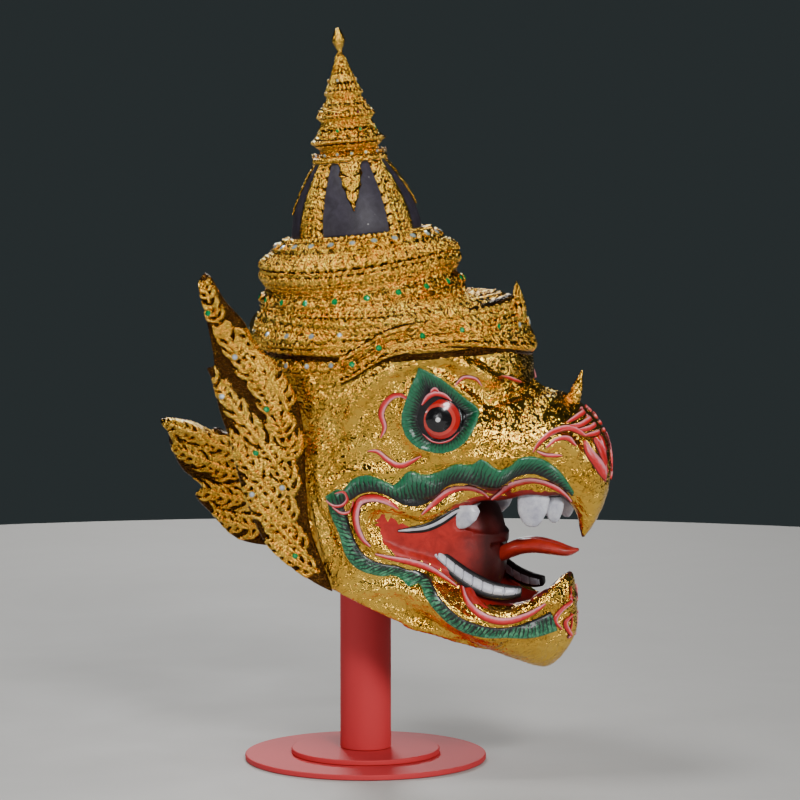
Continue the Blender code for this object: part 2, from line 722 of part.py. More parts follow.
def build_hollow(guides):
    """Inside of the head: the head's ribs set in by the wall, up to a flat ceiling."""
    ceiling_back = (CROWN_PIVOT_FORWARD - CEILING_RADIUS, CEILING_HEIGHT)
    ceiling_front = (CROWN_PIVOT_FORWARD + CEILING_RADIUS, CEILING_HEIGHT)
    rings = [rib_ring(ceiling_back, ceiling_front, CEILING_RADIUS, 2.0, 2.0, HOLLOW_SIDES)]
    for back, front, half_width, back_fullness, front_fullness in HEAD_RIBS[1:]:
        limit = MOUTH_HOLLOW_FRONT if front[1] < MOUTH_TOP_HEIGHT else BROW_HOLLOW_FRONT
        ring = rib_ring(back, front, half_width, back_fullness, front_fullness, HOLLOW_SIDES, WALL)
        rings.append([Vector((point.x, max(point.y, -limit), point.z)) for point in ring])
    drop = Vector((0.0, 0.0, -5 * WALL))
    rings.append([point + drop for point in rings[-1]])
    return loft("head_hollow", rings, guides)


def build_eye(tree, side, guides):
    point, normal = surface_point(tree, *EYE_PLACE, side)
    mesh = bpy.data.meshes.new("eye_ball")
    work = bmesh.new()
    bmesh.ops.create_uvsphere(work, u_segments=EYE_SEGMENTS, v_segments=EYE_SEGMENTS // 2,
                              radius=EYE_RADIUS)
    work.to_mesh(mesh)
    work.free()
    ball = bpy.data.objects.new("eye_ball", mesh)
    guides.objects.link(ball)
    sink = EYE_RADIUS - EYE_BULGE
    mesh.transform(Matrix.Translation(point - normal * sink))
    return ball


def build_tongue(collection):
    rings = []
    for index, at in enumerate(TONGUE_LINE):
        before = TONGUE_LINE[max(index - 1, 0)]
        after = TONGUE_LINE[min(index + 1, len(TONGUE_LINE) - 1)]
        along = (place(*after) - place(*before)).normalized()
        rise = along.cross(Vector((1, 0, 0))).normalized()
        ring = []
        for side in range(TONGUE_SIDES):
            angle = 2 * math.pi * side / TONGUE_SIDES
            across = Vector((TONGUE_HALF_WIDTH[index] * math.cos(angle), 0, 0))
            ring.append(place(*at) + across + rise * (TONGUE_HALF_THICKNESS[index] * math.sin(angle)))
        rings.append(ring)
    return loft("tongue", rings, collection)


def build_horn(collection):
    foot = place(HORN_PLACE[0], HORN_PLACE[1] - HORN_SINK)
    tip = place(*HORN_TIP)
    rings = []
    for share, radius in HORN_PROFILE:
        middle = foot.lerp(tip, share)
        ring = []
        for side in range(HORN_SIDES):
            angle = 2 * math.pi * side / HORN_SIDES
            reach = HORN_RADIUS * radius
            ring.append(middle + Vector((reach * math.cos(angle), reach * math.sin(angle), 0)))
        rings.append(ring)
    return loft("beak_horn", rings, collection)


def build_tooth(name, tree, side, collection):
    """Blunt tooth that hangs from the upper lip and narrows to its tip."""
    root, height, half_along, half_across = TEETH[name]
    point, _ = surface_point(tree, root[0], root[1] + LIP_HEIGHT_OVER_ROOT, side)
    across_place = abs(point.x) - half_across - TOOTH_COVER
    rings = []
    for share, width in TOOTH_PROFILE:
        ring = []
        for step in range(TOOTH_SIDES):
            angle = 2 * math.pi * step / TOOTH_SIDES
            forward = root[0] + half_along * width * math.cos(angle)
            across = across_place + half_across * width * math.sin(angle)
            ring.append(place(forward, root[1] + TOOTH_SINK - height * share, side * across))
        rings.append(ring)
    label = "right" if side < 0 else "left"
    return loft(name + "_" + label, rings, collection)


def build_bud(collection):
    """Upright leaf bud at the front of the tiara."""
    rings = []
    foot = place(BUD_PLACE[0], BUD_PLACE[1] - BUD_HEIGHT)
    for share, radius in BUD_PROFILE:
        middle = foot + Vector((0, BUD_LEAN * share, BUD_HEIGHT * share))
        reach = BUD_RADIUS * radius
        ring = []
        for side in range(BUD_SIDES):
            angle = 2 * math.pi * side / BUD_SIDES
            across = Vector((reach * math.cos(angle), reach * BUD_FLATTEN * math.sin(angle), 0))
            ring.append(middle + across)
        rings.append(ring)
    return loft("tiara_bud", rings, collection)


def build_disc(name, radius, thickness, bottom, collection):
    profile = (
        (0.0, bottom + thickness), (radius - EDGE_ROUND, bottom + thickness),
        (radius, bottom + thickness - EDGE_ROUND), (radius, bottom + EDGE_ROUND),
        (radius - EDGE_ROUND, bottom), (0.0, bottom),
    )
    return turned(name, profile, STAND_SEGMENTS, collection)


def build_stand(collection):
    base = build_disc("stand_base", BASE_RADIUS, BASE_THICKNESS, 0.0, collection)
    collar_bottom = BASE_THICKNESS + FIT_GAP
    collar = build_disc("stand_collar", COLLAR_RADIUS, COLLAR_THICKNESS, collar_bottom, collection)
    post_bottom = collar_bottom + COLLAR_THICKNESS + FIT_GAP
    length = CEILING_HEIGHT - FIT_GAP - post_bottom
    post = build_disc("stand_post", POST_RADIUS, length, post_bottom, collection)
    return [base, collar, post]


def main():
    clear_scene()
    pieces = new_collection("garuda_mask")
    guides = new_collection("guides")
    materials = {name: new_material(name) for name in COLOURS}

    tier_solid, dome, spire = build_crown(pieces, guides)
    head = build_head_mass(guides)
    tree = surface_tree(head)
    bands = [tiara_band(tree, guides)]
    for side in (-1, 1):
        bands.append(band("lip", tree, LIP_LINE, side, LIP_WIDTH, LIP_RAISE, guides))
        bands.append(band("cheek_band", tree, BAND_LINE, side, BAND_WIDTH, BAND_RAISE, guides))
        bands.append(band("eye_rim", tree, EYE_LINE, side, EYE_RIM_WIDTH, EYE_RIM_RAISE, guides,
                          parts=2, closed=True))
        bands.append(band("brow", tree, BROW_LINE, side, BROW_WIDTH, BROW_RAISE, guides))
        bands.append(band("nostril", tree, NOSTRIL_LINE, side, NOSTRIL_WIDTH, NOSTRIL_RAISE, guides))
        bands.append(build_eye(tree, side, guides))

    tongue = build_tongue(pieces)
    horn = build_horn(pieces)
    bud = build_bud(pieces)
    teeth = [build_tooth(name, tree, side, pieces) for name in TEETH for side in (-1, 1)]
    ears = []
    for side, label in ((-1, "right"), (1, "left")):
        ears.append(plate("ear_ornament_" + label, EAR_OUTLINE, ear_surface(side),
                          EAR_THICKNESS, EAR_RELIEF, PLAIN_STEPS, pieces))
        plate_ridges(ears[-1], EAR_RIDGES, ear_surface(side), 1, EAR_THICKNESS * 0.5 + RIDGE_STAND, guides)
    nape = plate("nape_ornament", NAPE_OUTLINE, nape_surface, NAPE_THICKNESS, NAPE_RELIEF,
                 CARVED_STEPS, pieces)
    for sign in (-1, 1):
        plate_ridges(nape, NAPE_RIDGES, nape_surface, sign, NAPE_THICKNESS * 0.5 + RIDGE_STAND, guides)

    cut_or_join(head, tier_solid, "UNION")
    for item in bands:
        cut_or_join(head, item, "UNION")
    trough = sunk_bowl("jaw_trough", TROUGH_RIBS, TROUGH_DROPS, TROUGH_HALF_WIDTHS, TROUGH_RISE, guides)
    cut_or_join(head, trough, "DIFFERENCE", "MANIFOLD")
    palate_drops = [PALATE_DROP] * len(PALATE_RIBS)
    palate = sunk_bowl("beak_palate", PALATE_RIBS, palate_drops, PALATE_HALF_WIDTHS, PALATE_RISE, guides)
    cut_or_join(head, palate, "DIFFERENCE", "MANIFOLD")
    cut_or_join(head, build_mouth_back(guides), "UNION")
    for item in [tongue, horn, bud, nape] + teeth + ears:
        cut_or_join(head, grown_copy(item, FIT_GAP, guides), "DIFFERENCE", "MANIFOLD")
    cut_or_join(head, build_hollow(guides), "DIFFERENCE", "MANIFOLD")
    fill_pockets(head)
    guides.objects.unlink(head)
    pieces.objects.link(head)

    stand = build_stand(pieces)
    for item in [head, spire, horn, bud, nape] + ears:
        item.data.materials.clear()
        item.data.materials.append(materials["gold"])
    dome.data.materials.append(materials["black"])
    tongue.data.materials.append(materials["tongue_red"])
    for item in teeth:
        item.data.materials.append(materials["white"])
    for item in stand:
        item.data.materials.append(materials["red"])
    for item in pieces.objects:
        item.data.shade_smooth()
        item.data.set_sharp_from_angle(angle=math.radians(35))


main()
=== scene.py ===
"""Looks of the garuda mask: gold leaf face, carved gilt crown and ears, paint and stones.

Run as a script. In the tables a place on the side view is a pair: how far forward of the
stand's axis (towards -Y), and how high above the table, in metres.
"""
import math

import bmesh
import bpy
import numpy as np
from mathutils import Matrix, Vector


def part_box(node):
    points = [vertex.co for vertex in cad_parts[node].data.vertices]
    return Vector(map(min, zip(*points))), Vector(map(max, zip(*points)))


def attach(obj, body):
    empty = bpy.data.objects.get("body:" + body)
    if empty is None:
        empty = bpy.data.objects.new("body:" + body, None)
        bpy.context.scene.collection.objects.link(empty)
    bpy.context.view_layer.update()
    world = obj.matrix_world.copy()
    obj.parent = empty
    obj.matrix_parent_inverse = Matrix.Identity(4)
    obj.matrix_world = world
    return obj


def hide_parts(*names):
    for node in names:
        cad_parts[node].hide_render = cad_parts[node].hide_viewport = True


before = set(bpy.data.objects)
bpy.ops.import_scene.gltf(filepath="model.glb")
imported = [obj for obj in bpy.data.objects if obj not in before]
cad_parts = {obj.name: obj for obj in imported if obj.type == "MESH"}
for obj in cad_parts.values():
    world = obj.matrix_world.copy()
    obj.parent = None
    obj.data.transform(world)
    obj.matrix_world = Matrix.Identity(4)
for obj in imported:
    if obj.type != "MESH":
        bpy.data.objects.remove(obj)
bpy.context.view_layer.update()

bl_info = {
    "name": "Garuda Mask Finish",
    "version": (1, 0, 0),
    "blender": (4, 5, 0),
    "location": "3D View > Sidebar > Garuda Mask",
    "description": "Builds the gilt, painted and jewelled surfaces of a garuda mask on its stand",
    "category": "Object",
}

SIDES = (("right", -1.0), ("left", 1.0))
FAR_OUTSIDE = 0.3
FLOOR_RADIUS = 1.7
NEAR_MIDDLE = 0.012

# Camera, by where it stands and what it looks at
CAMERA_PLACE = (-3.7943, -1.2667, 0.7630)
CAMERA_AIM = (0.00994, -0.0306, 0.3374)
CAMERA_LENS_MM = 194.6

# Head: back place, front place, half width, fullness of the back and of the front
HEAD_RIBS = (
    (-0.088, 0.430, 0.112, 0.437, 0.088, 2.0, 2.0),
    (-0.107, 0.412, 0.140, 0.427, 0.102, 2.0, 2.0),
    (-0.113, 0.382, 0.156, 0.397, 0.107, 2.0, 2.0),
    (-0.114, 0.348, 0.160, 0.360, 0.106, 2.0, 2.0),
    (-0.113, 0.314, 0.158, 0.318, 0.102, 2.0, 2.0),
    (-0.110, 0.286, 0.150, 0.275, 0.100, 2.0, 1.9),
    (-0.107, 0.264, 0.142, 0.243, 0.099, 2.0, 1.7),
    (-0.103, 0.248, 0.138, 0.210, 0.098, 2.0, 1.6),
    (-0.099, 0.234, 0.136, 0.178, 0.097, 2.0, 1.6),
    (-0.096, 0.223, 0.140, 0.146, 0.095, 2.0, 1.8),
    (-0.093, 0.211, 0.138, 0.110, 0.091, 2.0, 2.0),
)
# Beak: ridge place, lip place, half width, fullness of the ridge and of the lip
BEAK_RIBS = (
    (0.050, 0.374, 0.030, 0.262, 0.086, 2.0, 2.4),
    (0.100, 0.366, 0.080, 0.256, 0.088, 2.0, 2.6),
    (0.135, 0.358, 0.115, 0.256, 0.083, 1.9, 2.8),
    (0.165, 0.352, 0.147, 0.259, 0.072, 1.8, 2.8),
    (0.190, 0.351, 0.170, 0.261, 0.060, 1.8, 2.8),
    (0.207, 0.341, 0.187, 0.258, 0.050, 1.8, 2.6),
    (0.222, 0.327, 0.197, 0.252, 0.040, 1.9, 2.4),
    (0.234, 0.305, 0.203, 0.245, 0.030, 2.0, 2.2),
    (0.237, 0.280, 0.206, 0.237, 0.021, 2.0, 2.0),
    (0.233, 0.256, 0.207, 0.230, 0.014, 2.0, 2.0),
    (0.224, 0.236, 0.208, 0.222, 0.008, 2.0, 2.0),
    (0.213, 0.219, 0.209, 0.216, 0.003, 2.0, 2.0),
)
# Lower jaw: lip place, underside place, half width, fullness of the lip and of the underside
JAW_RIBS = (
    (0.010, 0.236, 0.010, 0.172, 0.092, 2.2, 2.2),
    (0.055, 0.205, 0.050, 0.152, 0.092, 2.4, 2.2),
    (0.090, 0.188, 0.084, 0.136, 0.088, 2.6, 2.2),
    (0.122, 0.172, 0.114, 0.121, 0.080, 2.6, 2.2),
    (0.148, 0.163, 0.140, 0.109, 0.068, 2.6, 2.2),
    (0.170, 0.166, 0.160, 0.100, 0.054, 2.4, 2.0),
    (0.186, 0.177, 0.176, 0.096, 0.038, 2.2, 2.0),
    (0.196, 0.186, 0.188, 0.104, 0.024, 2.0, 2.0),
    (0.201, 0.182, 0.199, 0.118, 0.013, 2.0, 2.0),
    (0.204, 0.162, 0.205, 0.132, 0.005, 2.0, 2.0),
)
PALATE_RIBS = (
    (0.100, 0.259, 0.100, 0.219, 0.058, 2.2, 2.2), (0.130, 0.259, 0.130, 0.219, 0.058, 2.2, 2.2),
    (0.160, 0.262, 0.160, 0.222, 0.050, 2.2, 2.2), (0.185, 0.262, 0.185, 0.222, 0.034, 2.2, 2.2),
    (0.199, 0.256, 0.199, 0.216, 0.014, 2.2, 2.2),
)
TROUGH_RIBS = (
    (0.102, 0.223, 0.102, 0.181, 0.060, 2.2, 2.2), (0.122, 0.216, 0.122, 0.160, 0.058, 2.2, 2.2),
    (0.145, 0.210, 0.145, 0.144, 0.048, 2.2, 2.2), (0.170, 0.212, 0.170, 0.148, 0.032, 2.2, 2.2),
    (0.189, 0.220, 0.189, 0.182, 0.012, 2.2, 2.2),
)
MOUTH_BACK_RIBS = (
    (0.095, 0.266, 0.095, 0.146, 0.062, 2.4, 2.4), (0.111, 0.260, 0.112, 0.150, 0.050, 2.4, 2.4),
    (0.124, 0.247, 0.126, 0.164, 0.033, 2.4, 2.4), (0.133, 0.228, 0.134, 0.182, 0.016, 2.4, 2.4),
)
WALL = 0.006
HOLLOW_DROP = 0.030
CEILING_RIB = (-0.063, 0.452, 0.057, 0.452, 0.060, 2.0, 2.0)
BROW_HOLLOW_FRONT = 0.122
MOUTH_HOLLOW_FRONT = 0.086
MOUTH_TOP_HEIGHT = 0.290

# Raised rolls of the head: middle line, width, raise and whether the line is closed
LIP_LINE = (
    (0.206, 0.256), (0.190, 0.266), (0.167, 0.268), (0.148, 0.262), (0.127, 0.262), (0.106, 0.260),
    (0.086, 0.246), (0.062, 0.252), (0.040, 0.254), (0.028, 0.240), (0.034, 0.221), (0.054, 0.206),
    (0.078, 0.197), (0.097, 0.187), (0.114, 0.172), (0.131, 0.156), (0.148, 0.148), (0.167, 0.152),
    (0.184, 0.166), (0.196, 0.181),
)
BAND_LINE = (
    (0.206, 0.270), (0.190, 0.282), (0.168, 0.284), (0.150, 0.277), (0.128, 0.280), (0.104, 0.276),
    (0.086, 0.268), (0.072, 0.273), (0.054, 0.268), (0.034, 0.270), (0.012, 0.259), (0.008, 0.236),
    (0.018, 0.212), (0.032, 0.198), (0.056, 0.190), (0.082, 0.180), (0.100, 0.162), (0.118, 0.147),
    (0.138, 0.137), (0.160, 0.136), (0.186, 0.136),
)
EYE_LINE = (
    (0.083, 0.380), (0.101, 0.371), (0.120, 0.353), (0.132, 0.340), (0.132, 0.326), (0.125, 0.312),
    (0.112, 0.303), (0.097, 0.301), (0.081, 0.306), (0.071, 0.318), (0.068, 0.334), (0.073, 0.352),
    (0.083, 0.380),
)
BROW_LINE = (
    (0.056, 0.384), (0.078, 0.394), (0.100, 0.390), (0.122, 0.378), (0.140, 0.364), (0.152, 0.358),
)
NOSTRIL_LINE = ((0.182, 0.293), (0.192, 0.310), (0.204, 0.312), (0.213, 0.302), (0.212, 0.290))
ROLLS = (
    (LIP_LINE, 0.016, 0.0065), (BAND_LINE, 0.018, 0.0030), (EYE_LINE, 0.010, 0.0050),
    (BROW_LINE, 0.018, 0.0070), (NOSTRIL_LINE, 0.013, 0.0055),
    (((0.128, 0.349), (0.149, 0.353), (0.170, 0.359), (0.190, 0.361)), 0.008, 0.0030),
    (((0.137, 0.337), (0.154, 0.342), (0.173, 0.346), (0.192, 0.349)), 0.007, 0.0026),
    (((0.010, 0.345), (0.036, 0.366), (0.056, 0.377), (0.078, 0.382)), 0.009, 0.0032),
    (((0.006, 0.320), (0.028, 0.345), (0.046, 0.360), (0.064, 0.368)), 0.007, 0.0024),
    (((0.018, 0.168), (0.037, 0.174), (0.062, 0.176), (0.092, 0.165), (0.116, 0.149)), 0.010, 0.0030),
    (((-0.010, 0.262), (0.010, 0.277), (0.030, 0.285), (0.055, 0.281), (0.076, 0.291), (0.100, 0.293),
      (0.129, 0.299), (0.156, 0.296), (0.178, 0.301)), 0.008, 0.0030),
    (((-0.012, 0.172), (0.034, 0.153), (0.092, 0.136), (0.140, 0.123)), 0.010, 0.0028),
    (((-0.023, 0.318), (-0.023, 0.285), (-0.019, 0.252), (-0.011, 0.218), (-0.006, 0.190)), 0.007, 0.0034),
    (((-0.016, 0.322), (-0.014, 0.290), (-0.010, 0.260), (-0.005, 0.234)), 0.006, 0.0032),
    (((-0.031, 0.300), (-0.030, 0.264), (-0.025, 0.232), (-0.018, 0.199)), 0.007, 0.0034),
    (((-0.006, 0.330), (0.002, 0.312), (0.008, 0.292), (0.006, 0.276)), 0.006, 0.0024),
    (((0.006, 0.344), (0.016, 0.322), (0.022, 0.302), (0.018, 0.288)), 0.006, 0.0020),
    (((0.016, 0.312), (0.021, 0.337), (0.034, 0.358), (0.056, 0.374), (0.087, 0.385), (0.120, 0.392),
      (0.148, 0.395)), 0.011, 0.0045),
)
VOXEL = 0.0021
# Pieces with more triangles than this keep only a share of them
LIGHTEN_FROM = 90000
LIGHTEN_SHARE = 0.5
FRONT_EASE_FROM = 0.222
FRONT_EASE = 0.085

# Crown: leaning axis, turned tiers (radius and height over the pivot), dome and spire
CROWN_PIVOT = (-0.003, 0.441)
CROWN_LEAN = math.radians(5.7)
CROWN_SEAT = 0.052
FIT_GAP = 0.0003
TIER_SIDE_DIP = 0.010
TIER_PROFILE = (
    (0.0600, 0.0522), (0.0660, 0.0520), (0.0755, 0.046), (0.0855, 0.036), (0.0905, 0.031),
    (0.0925, 0.023), (0.0900, 0.015), (0.0862, 0.010), (0.0915, 0.005), (0.0945, -0.002),
    (0.0940, -0.009), (0.0892, -0.016), (0.0990, -0.021), (0.1065, -0.028), (0.1070, -0.037),
    (0.1020, -0.043), (0.1055, -0.049), (0.1065, -0.058), (0.0990, -0.067),
)
# Carved rows of the tiers: end of the row along the profile, kind, count round, raise
TIER_ROWS = (
    (0.006, "plain", 1, 0.0), (0.011, "beads", 84, 0.0017), (0.024, "scroll", 34, 0.0016),
    (0.028, "rope", 96, 0.0012), (0.040, "petal", 44, 0.0030), (0.044, "rope", 110, 0.0012),
    (0.052, "leaf", 56, 0.0018), (0.056, "beads", 120, 0.0013), (0.064, "leaf", 60, 0.0014),
    (0.067, "rope", 120, 0.0012), (0.077, "scroll", 44, 0.0018), (0.080, "rope", 130, 0.0012),
    (0.089, "leaf", 64, 0.0016), (0.093, "rope", 110, 0.0012), (0.100, "petal", 48, 0.0016),
    (0.104, "beads", 130, 0.0013), (0.117, "scroll", 40, 0.0020), (0.121, "rope", 130, 0.0013),
    (0.130, "leaf", 64, 0.0016), (0.134, "beads", 130, 0.0013), (0.146, "scroll", 44, 0.0018),
    (0.150, "rope", 130, 0.0012), (0.158, "plain", 1, 0.0),
)
TIER_SPLIT = 0.066
TIER_LENGTH = 0.158
TIER_COLUMNS = 620
DOME_HEIGHT = 0.066
DOME_BASE_RADIUS = 0.0605
DOME_TOP_RADIUS = 0.033
DOME_FULLNESS = 1.7
RIB_COUNT = 4
RIB_RAISE = 0.0022
RIB_HALF_ANGLE = math.radians(15)
LANCET_LENGTH = 0.044
LANCET_HALF_ANGLE = math.radians(20)
PANEL_TURN = math.radians(18)
SPIRE_PROFILE = (
    (0.0, 0.124), (0.0030, 0.122), (0.0062, 0.113), (0.0048, 0.108), (0.0028, 0.104),
    (0.0030, 0.100), (0.0060, 0.092), (0.0085, 0.085), (0.0125, 0.072), (0.0172, 0.064),
    (0.0145, 0.060), (0.0200, 0.052), (0.0262, 0.043), (0.0215, 0.038), (0.0275, 0.026),
    (0.0335, 0.020), (0.0262, 0.013), (0.0270, 0.009), (0.0335, 0.005), (0.0335, 0.0),
)
# Carved rows of the spire by height over its foot, from the top down
SPIRE_ROWS = (
    (0.100, "plain", 1, 0.0), (0.086, "leaf", 8, 0.0008), (0.081, "beads", 16, 0.0008),
    (0.073, "petal", 10, 0.0011), (0.066, "beads", 24, 0.0010), (0.062, "rope", 30, 0.0008),
    (0.053, "petal", 14, 0.0015), (0.046, "scroll", 14, 0.0014), (0.041, "beads", 40, 0.0011),
    (0.030, "petal", 18, 0.0018), (0.022, "scroll", 18, 0.0014), (0.017, "beads", 50, 0.0011),
    (0.011, "leaf", 28, 0.0012), (0.006, "beads", 54, 0.0011), (-0.001, "rope", 60, 0.0008),
)

# Tiara: lower and upper edge by the angle from the front round the head
TIARA_END_ANGLE = math.radians(86)
TIARA_LOWER = (0.384, 0.392, 0.396, 0.386, 0.362)
TIARA_UPPER = (0.440, 0.434, 0.424, 0.414, 0.390)
TIARA_STAND = 0.0066
TIARA_AXIS_FORWARD = 0.005
TIARA_GAUGE_LEVELS = 26
SKULL_TOP_HEIGHT = 0.425
BUD_PLACE = (0.150, 0.452)
BUD_HEIGHT = 0.040
BUD_RADIUS = 0.009

# Rows on the skull, by the height of a ray from the centre: end as a share, kind, count, raise
SKULL_ROWS_CENTRE = (0.0, -0.010, 0.360)
SKULL_ROWS_END = math.radians(150)
SKULL_ROWS_STEP = 0.0045
SKULL_ROWS_RISE = (math.radians(12), math.radians(44))
SKULL_ROWS = (
    (0.08, "plain", 1, 0.0), (0.16, "rope", 130, 0.0014), (0.30, "leaf", 70, 0.0018),
    (0.38, "beads", 120, 0.0015), (0.46, "rope", 130, 0.0014), (0.60, "scroll", 54, 0.0020),
    (0.68, "beads", 110, 0.0015), (0.84, "petal", 60, 0.0020), (0.92, "rope", 110, 0.0014),
    (1.0, "beads", 90, 0.0012),
)

# Ear ornament: rear and front edge from the tip down, on a plane that flares back
EAR_REAR = (
    (-0.104, 0.464), (-0.109, 0.454), (-0.104, 0.424), (-0.098, 0.382), (-0.104, 0.377),
    (-0.100, 0.366), (-0.096, 0.346), (-0.093, 0.333), (-0.086, 0.310), (-0.080, 0.280),
    (-0.072, 0.252), (-0.059, 0.219), (-0.041, 0.198), (-0.017, 0.180), (-0.001, 0.171),
)
EAR_FRONT = (
    (-0.104, 0.464), (-0.099, 0.459), (-0.089, 0.440), (-0.073, 0.420), (-0.062, 0.399),
    (-0.045, 0.381), (-0.030, 0.354), (-0.023, 0.320), (-0.022, 0.270), (-0.019, 0.230),
    (-0.010, 0.200), (-0.001, 0.171),
)
EAR_STAND = 0.1035
EAR_FLARE = 0.36
EAR_RISE = 0.05
EAR_HINGE = (-0.012, 0.300)
EAR_THICKNESS = 0.009
EAR_FLAMES = (
    ((-0.030, 0.292), (-0.048, 0.345), (-0.074, 0.388), (-0.095, 0.427), (-0.105, 0.460)),
    ((-0.030, 0.262), (-0.050, 0.298), (-0.074, 0.334), (-0.099, 0.370)),
    ((-0.030, 0.234), (-0.048, 0.260), (-0.068, 0.288), (-0.088, 0.318)),
    ((-0.022, 0.208), (-0.038, 0.226), (-0.056, 0.245), (-0.073, 0.270)),
    ((-0.034, 0.340), (-0.045, 0.366), (-0.058, 0.390), (-0.072, 0.415)),
    ((-0.012, 0.190), (-0.026, 0.197), (-0.040, 0.207), (-0.056, 0.222)),
)
# Nape ornament: outer edge with three flame points, and the edge against the neck
NAPE_OUTER = (
    (-0.104, 0.300), (-0.140, 0.303), (-0.149, 0.307), (-0.155, 0.301), (-0.166, 0.308),
    (-0.180, 0.313), (-0.204, 0.313), (-0.196, 0.300), (-0.195, 0.290), (-0.183, 0.267),
    (-0.163, 0.252), (-0.169, 0.241), (-0.153, 0.225), (-0.128, 0.203), (-0.098, 0.197),
)
NAPE_INNER = ((-0.104, 0.300), (-0.100, 0.250), (-0.092, 0.220), (-0.098, 0.197))
NAPE_THICKNESS = 0.012
NAPE_FLAMES = (
    ((-0.104, 0.284), (-0.136, 0.288), (-0.166, 0.300), (-0.202, 0.312)),
    ((-0.104, 0.262), (-0.138, 0.268), (-0.168, 0.279), (-0.192, 0.290)),
    ((-0.102, 0.240), (-0.130, 0.242), (-0.150, 0.246), (-0.168, 0.250)),
    ((-0.100, 0.216), (-0.116, 0.215), (-0.134, 0.218), (-0.152, 0.227)),
)

# Painted bands: outer and inner edge on the side view, from the mouth's corner forwards
UPPER_BAND_OUTER = (
    (-0.006, 0.259), (0.006, 0.266), (0.013, 0.266), (0.021, 0.276), (0.036, 0.280), (0.054, 0.274),
    (0.060, 0.272), (0.072, 0.284), (0.085, 0.281), (0.096, 0.283), (0.114, 0.291), (0.128, 0.291),
    (0.138, 0.296), (0.150, 0.286), (0.160, 0.289), (0.170, 0.297), (0.184, 0.297), (0.197, 0.288),
    (0.205, 0.276), (0.210, 0.263),
)
UPPER_BAND_INNER = (
    (0.010, 0.244), (0.016, 0.254), (0.022, 0.258), (0.030, 0.263), (0.040, 0.265), (0.052, 0.262),
    (0.062, 0.256), (0.072, 0.252), (0.082, 0.252), (0.092, 0.259), (0.103, 0.269), (0.114, 0.273),
    (0.126, 0.272), (0.136, 0.265), (0.145, 0.266), (0.156, 0.273), (0.168, 0.280), (0.182, 0.281),
    (0.196, 0.272), (0.207, 0.260),
)
LOWER_BAND_OUTER = (
    (-0.006, 0.259), (0.000, 0.242), (0.008, 0.225), (0.014, 0.205), (0.025, 0.193), (0.045, 0.187),
    (0.056, 0.188), (0.064, 0.184), (0.072, 0.178), (0.078, 0.181), (0.085, 0.173), (0.097, 0.155),
    (0.114, 0.140), (0.136, 0.132), (0.157, 0.131), (0.176, 0.129), (0.192, 0.133),
)
LOWER_BAND_INNER = (
    (0.012, 0.252), (0.016, 0.243), (0.019, 0.230), (0.025, 0.216), (0.034, 0.205), (0.048, 0.199),
    (0.060, 0.197), (0.070, 0.193), (0.078, 0.192), (0.090, 0.183), (0.101, 0.168), (0.116, 0.153),
    (0.132, 0.145), (0.148, 0.141), (0.163, 0.142), (0.176, 0.146), (0.188, 0.152),
)
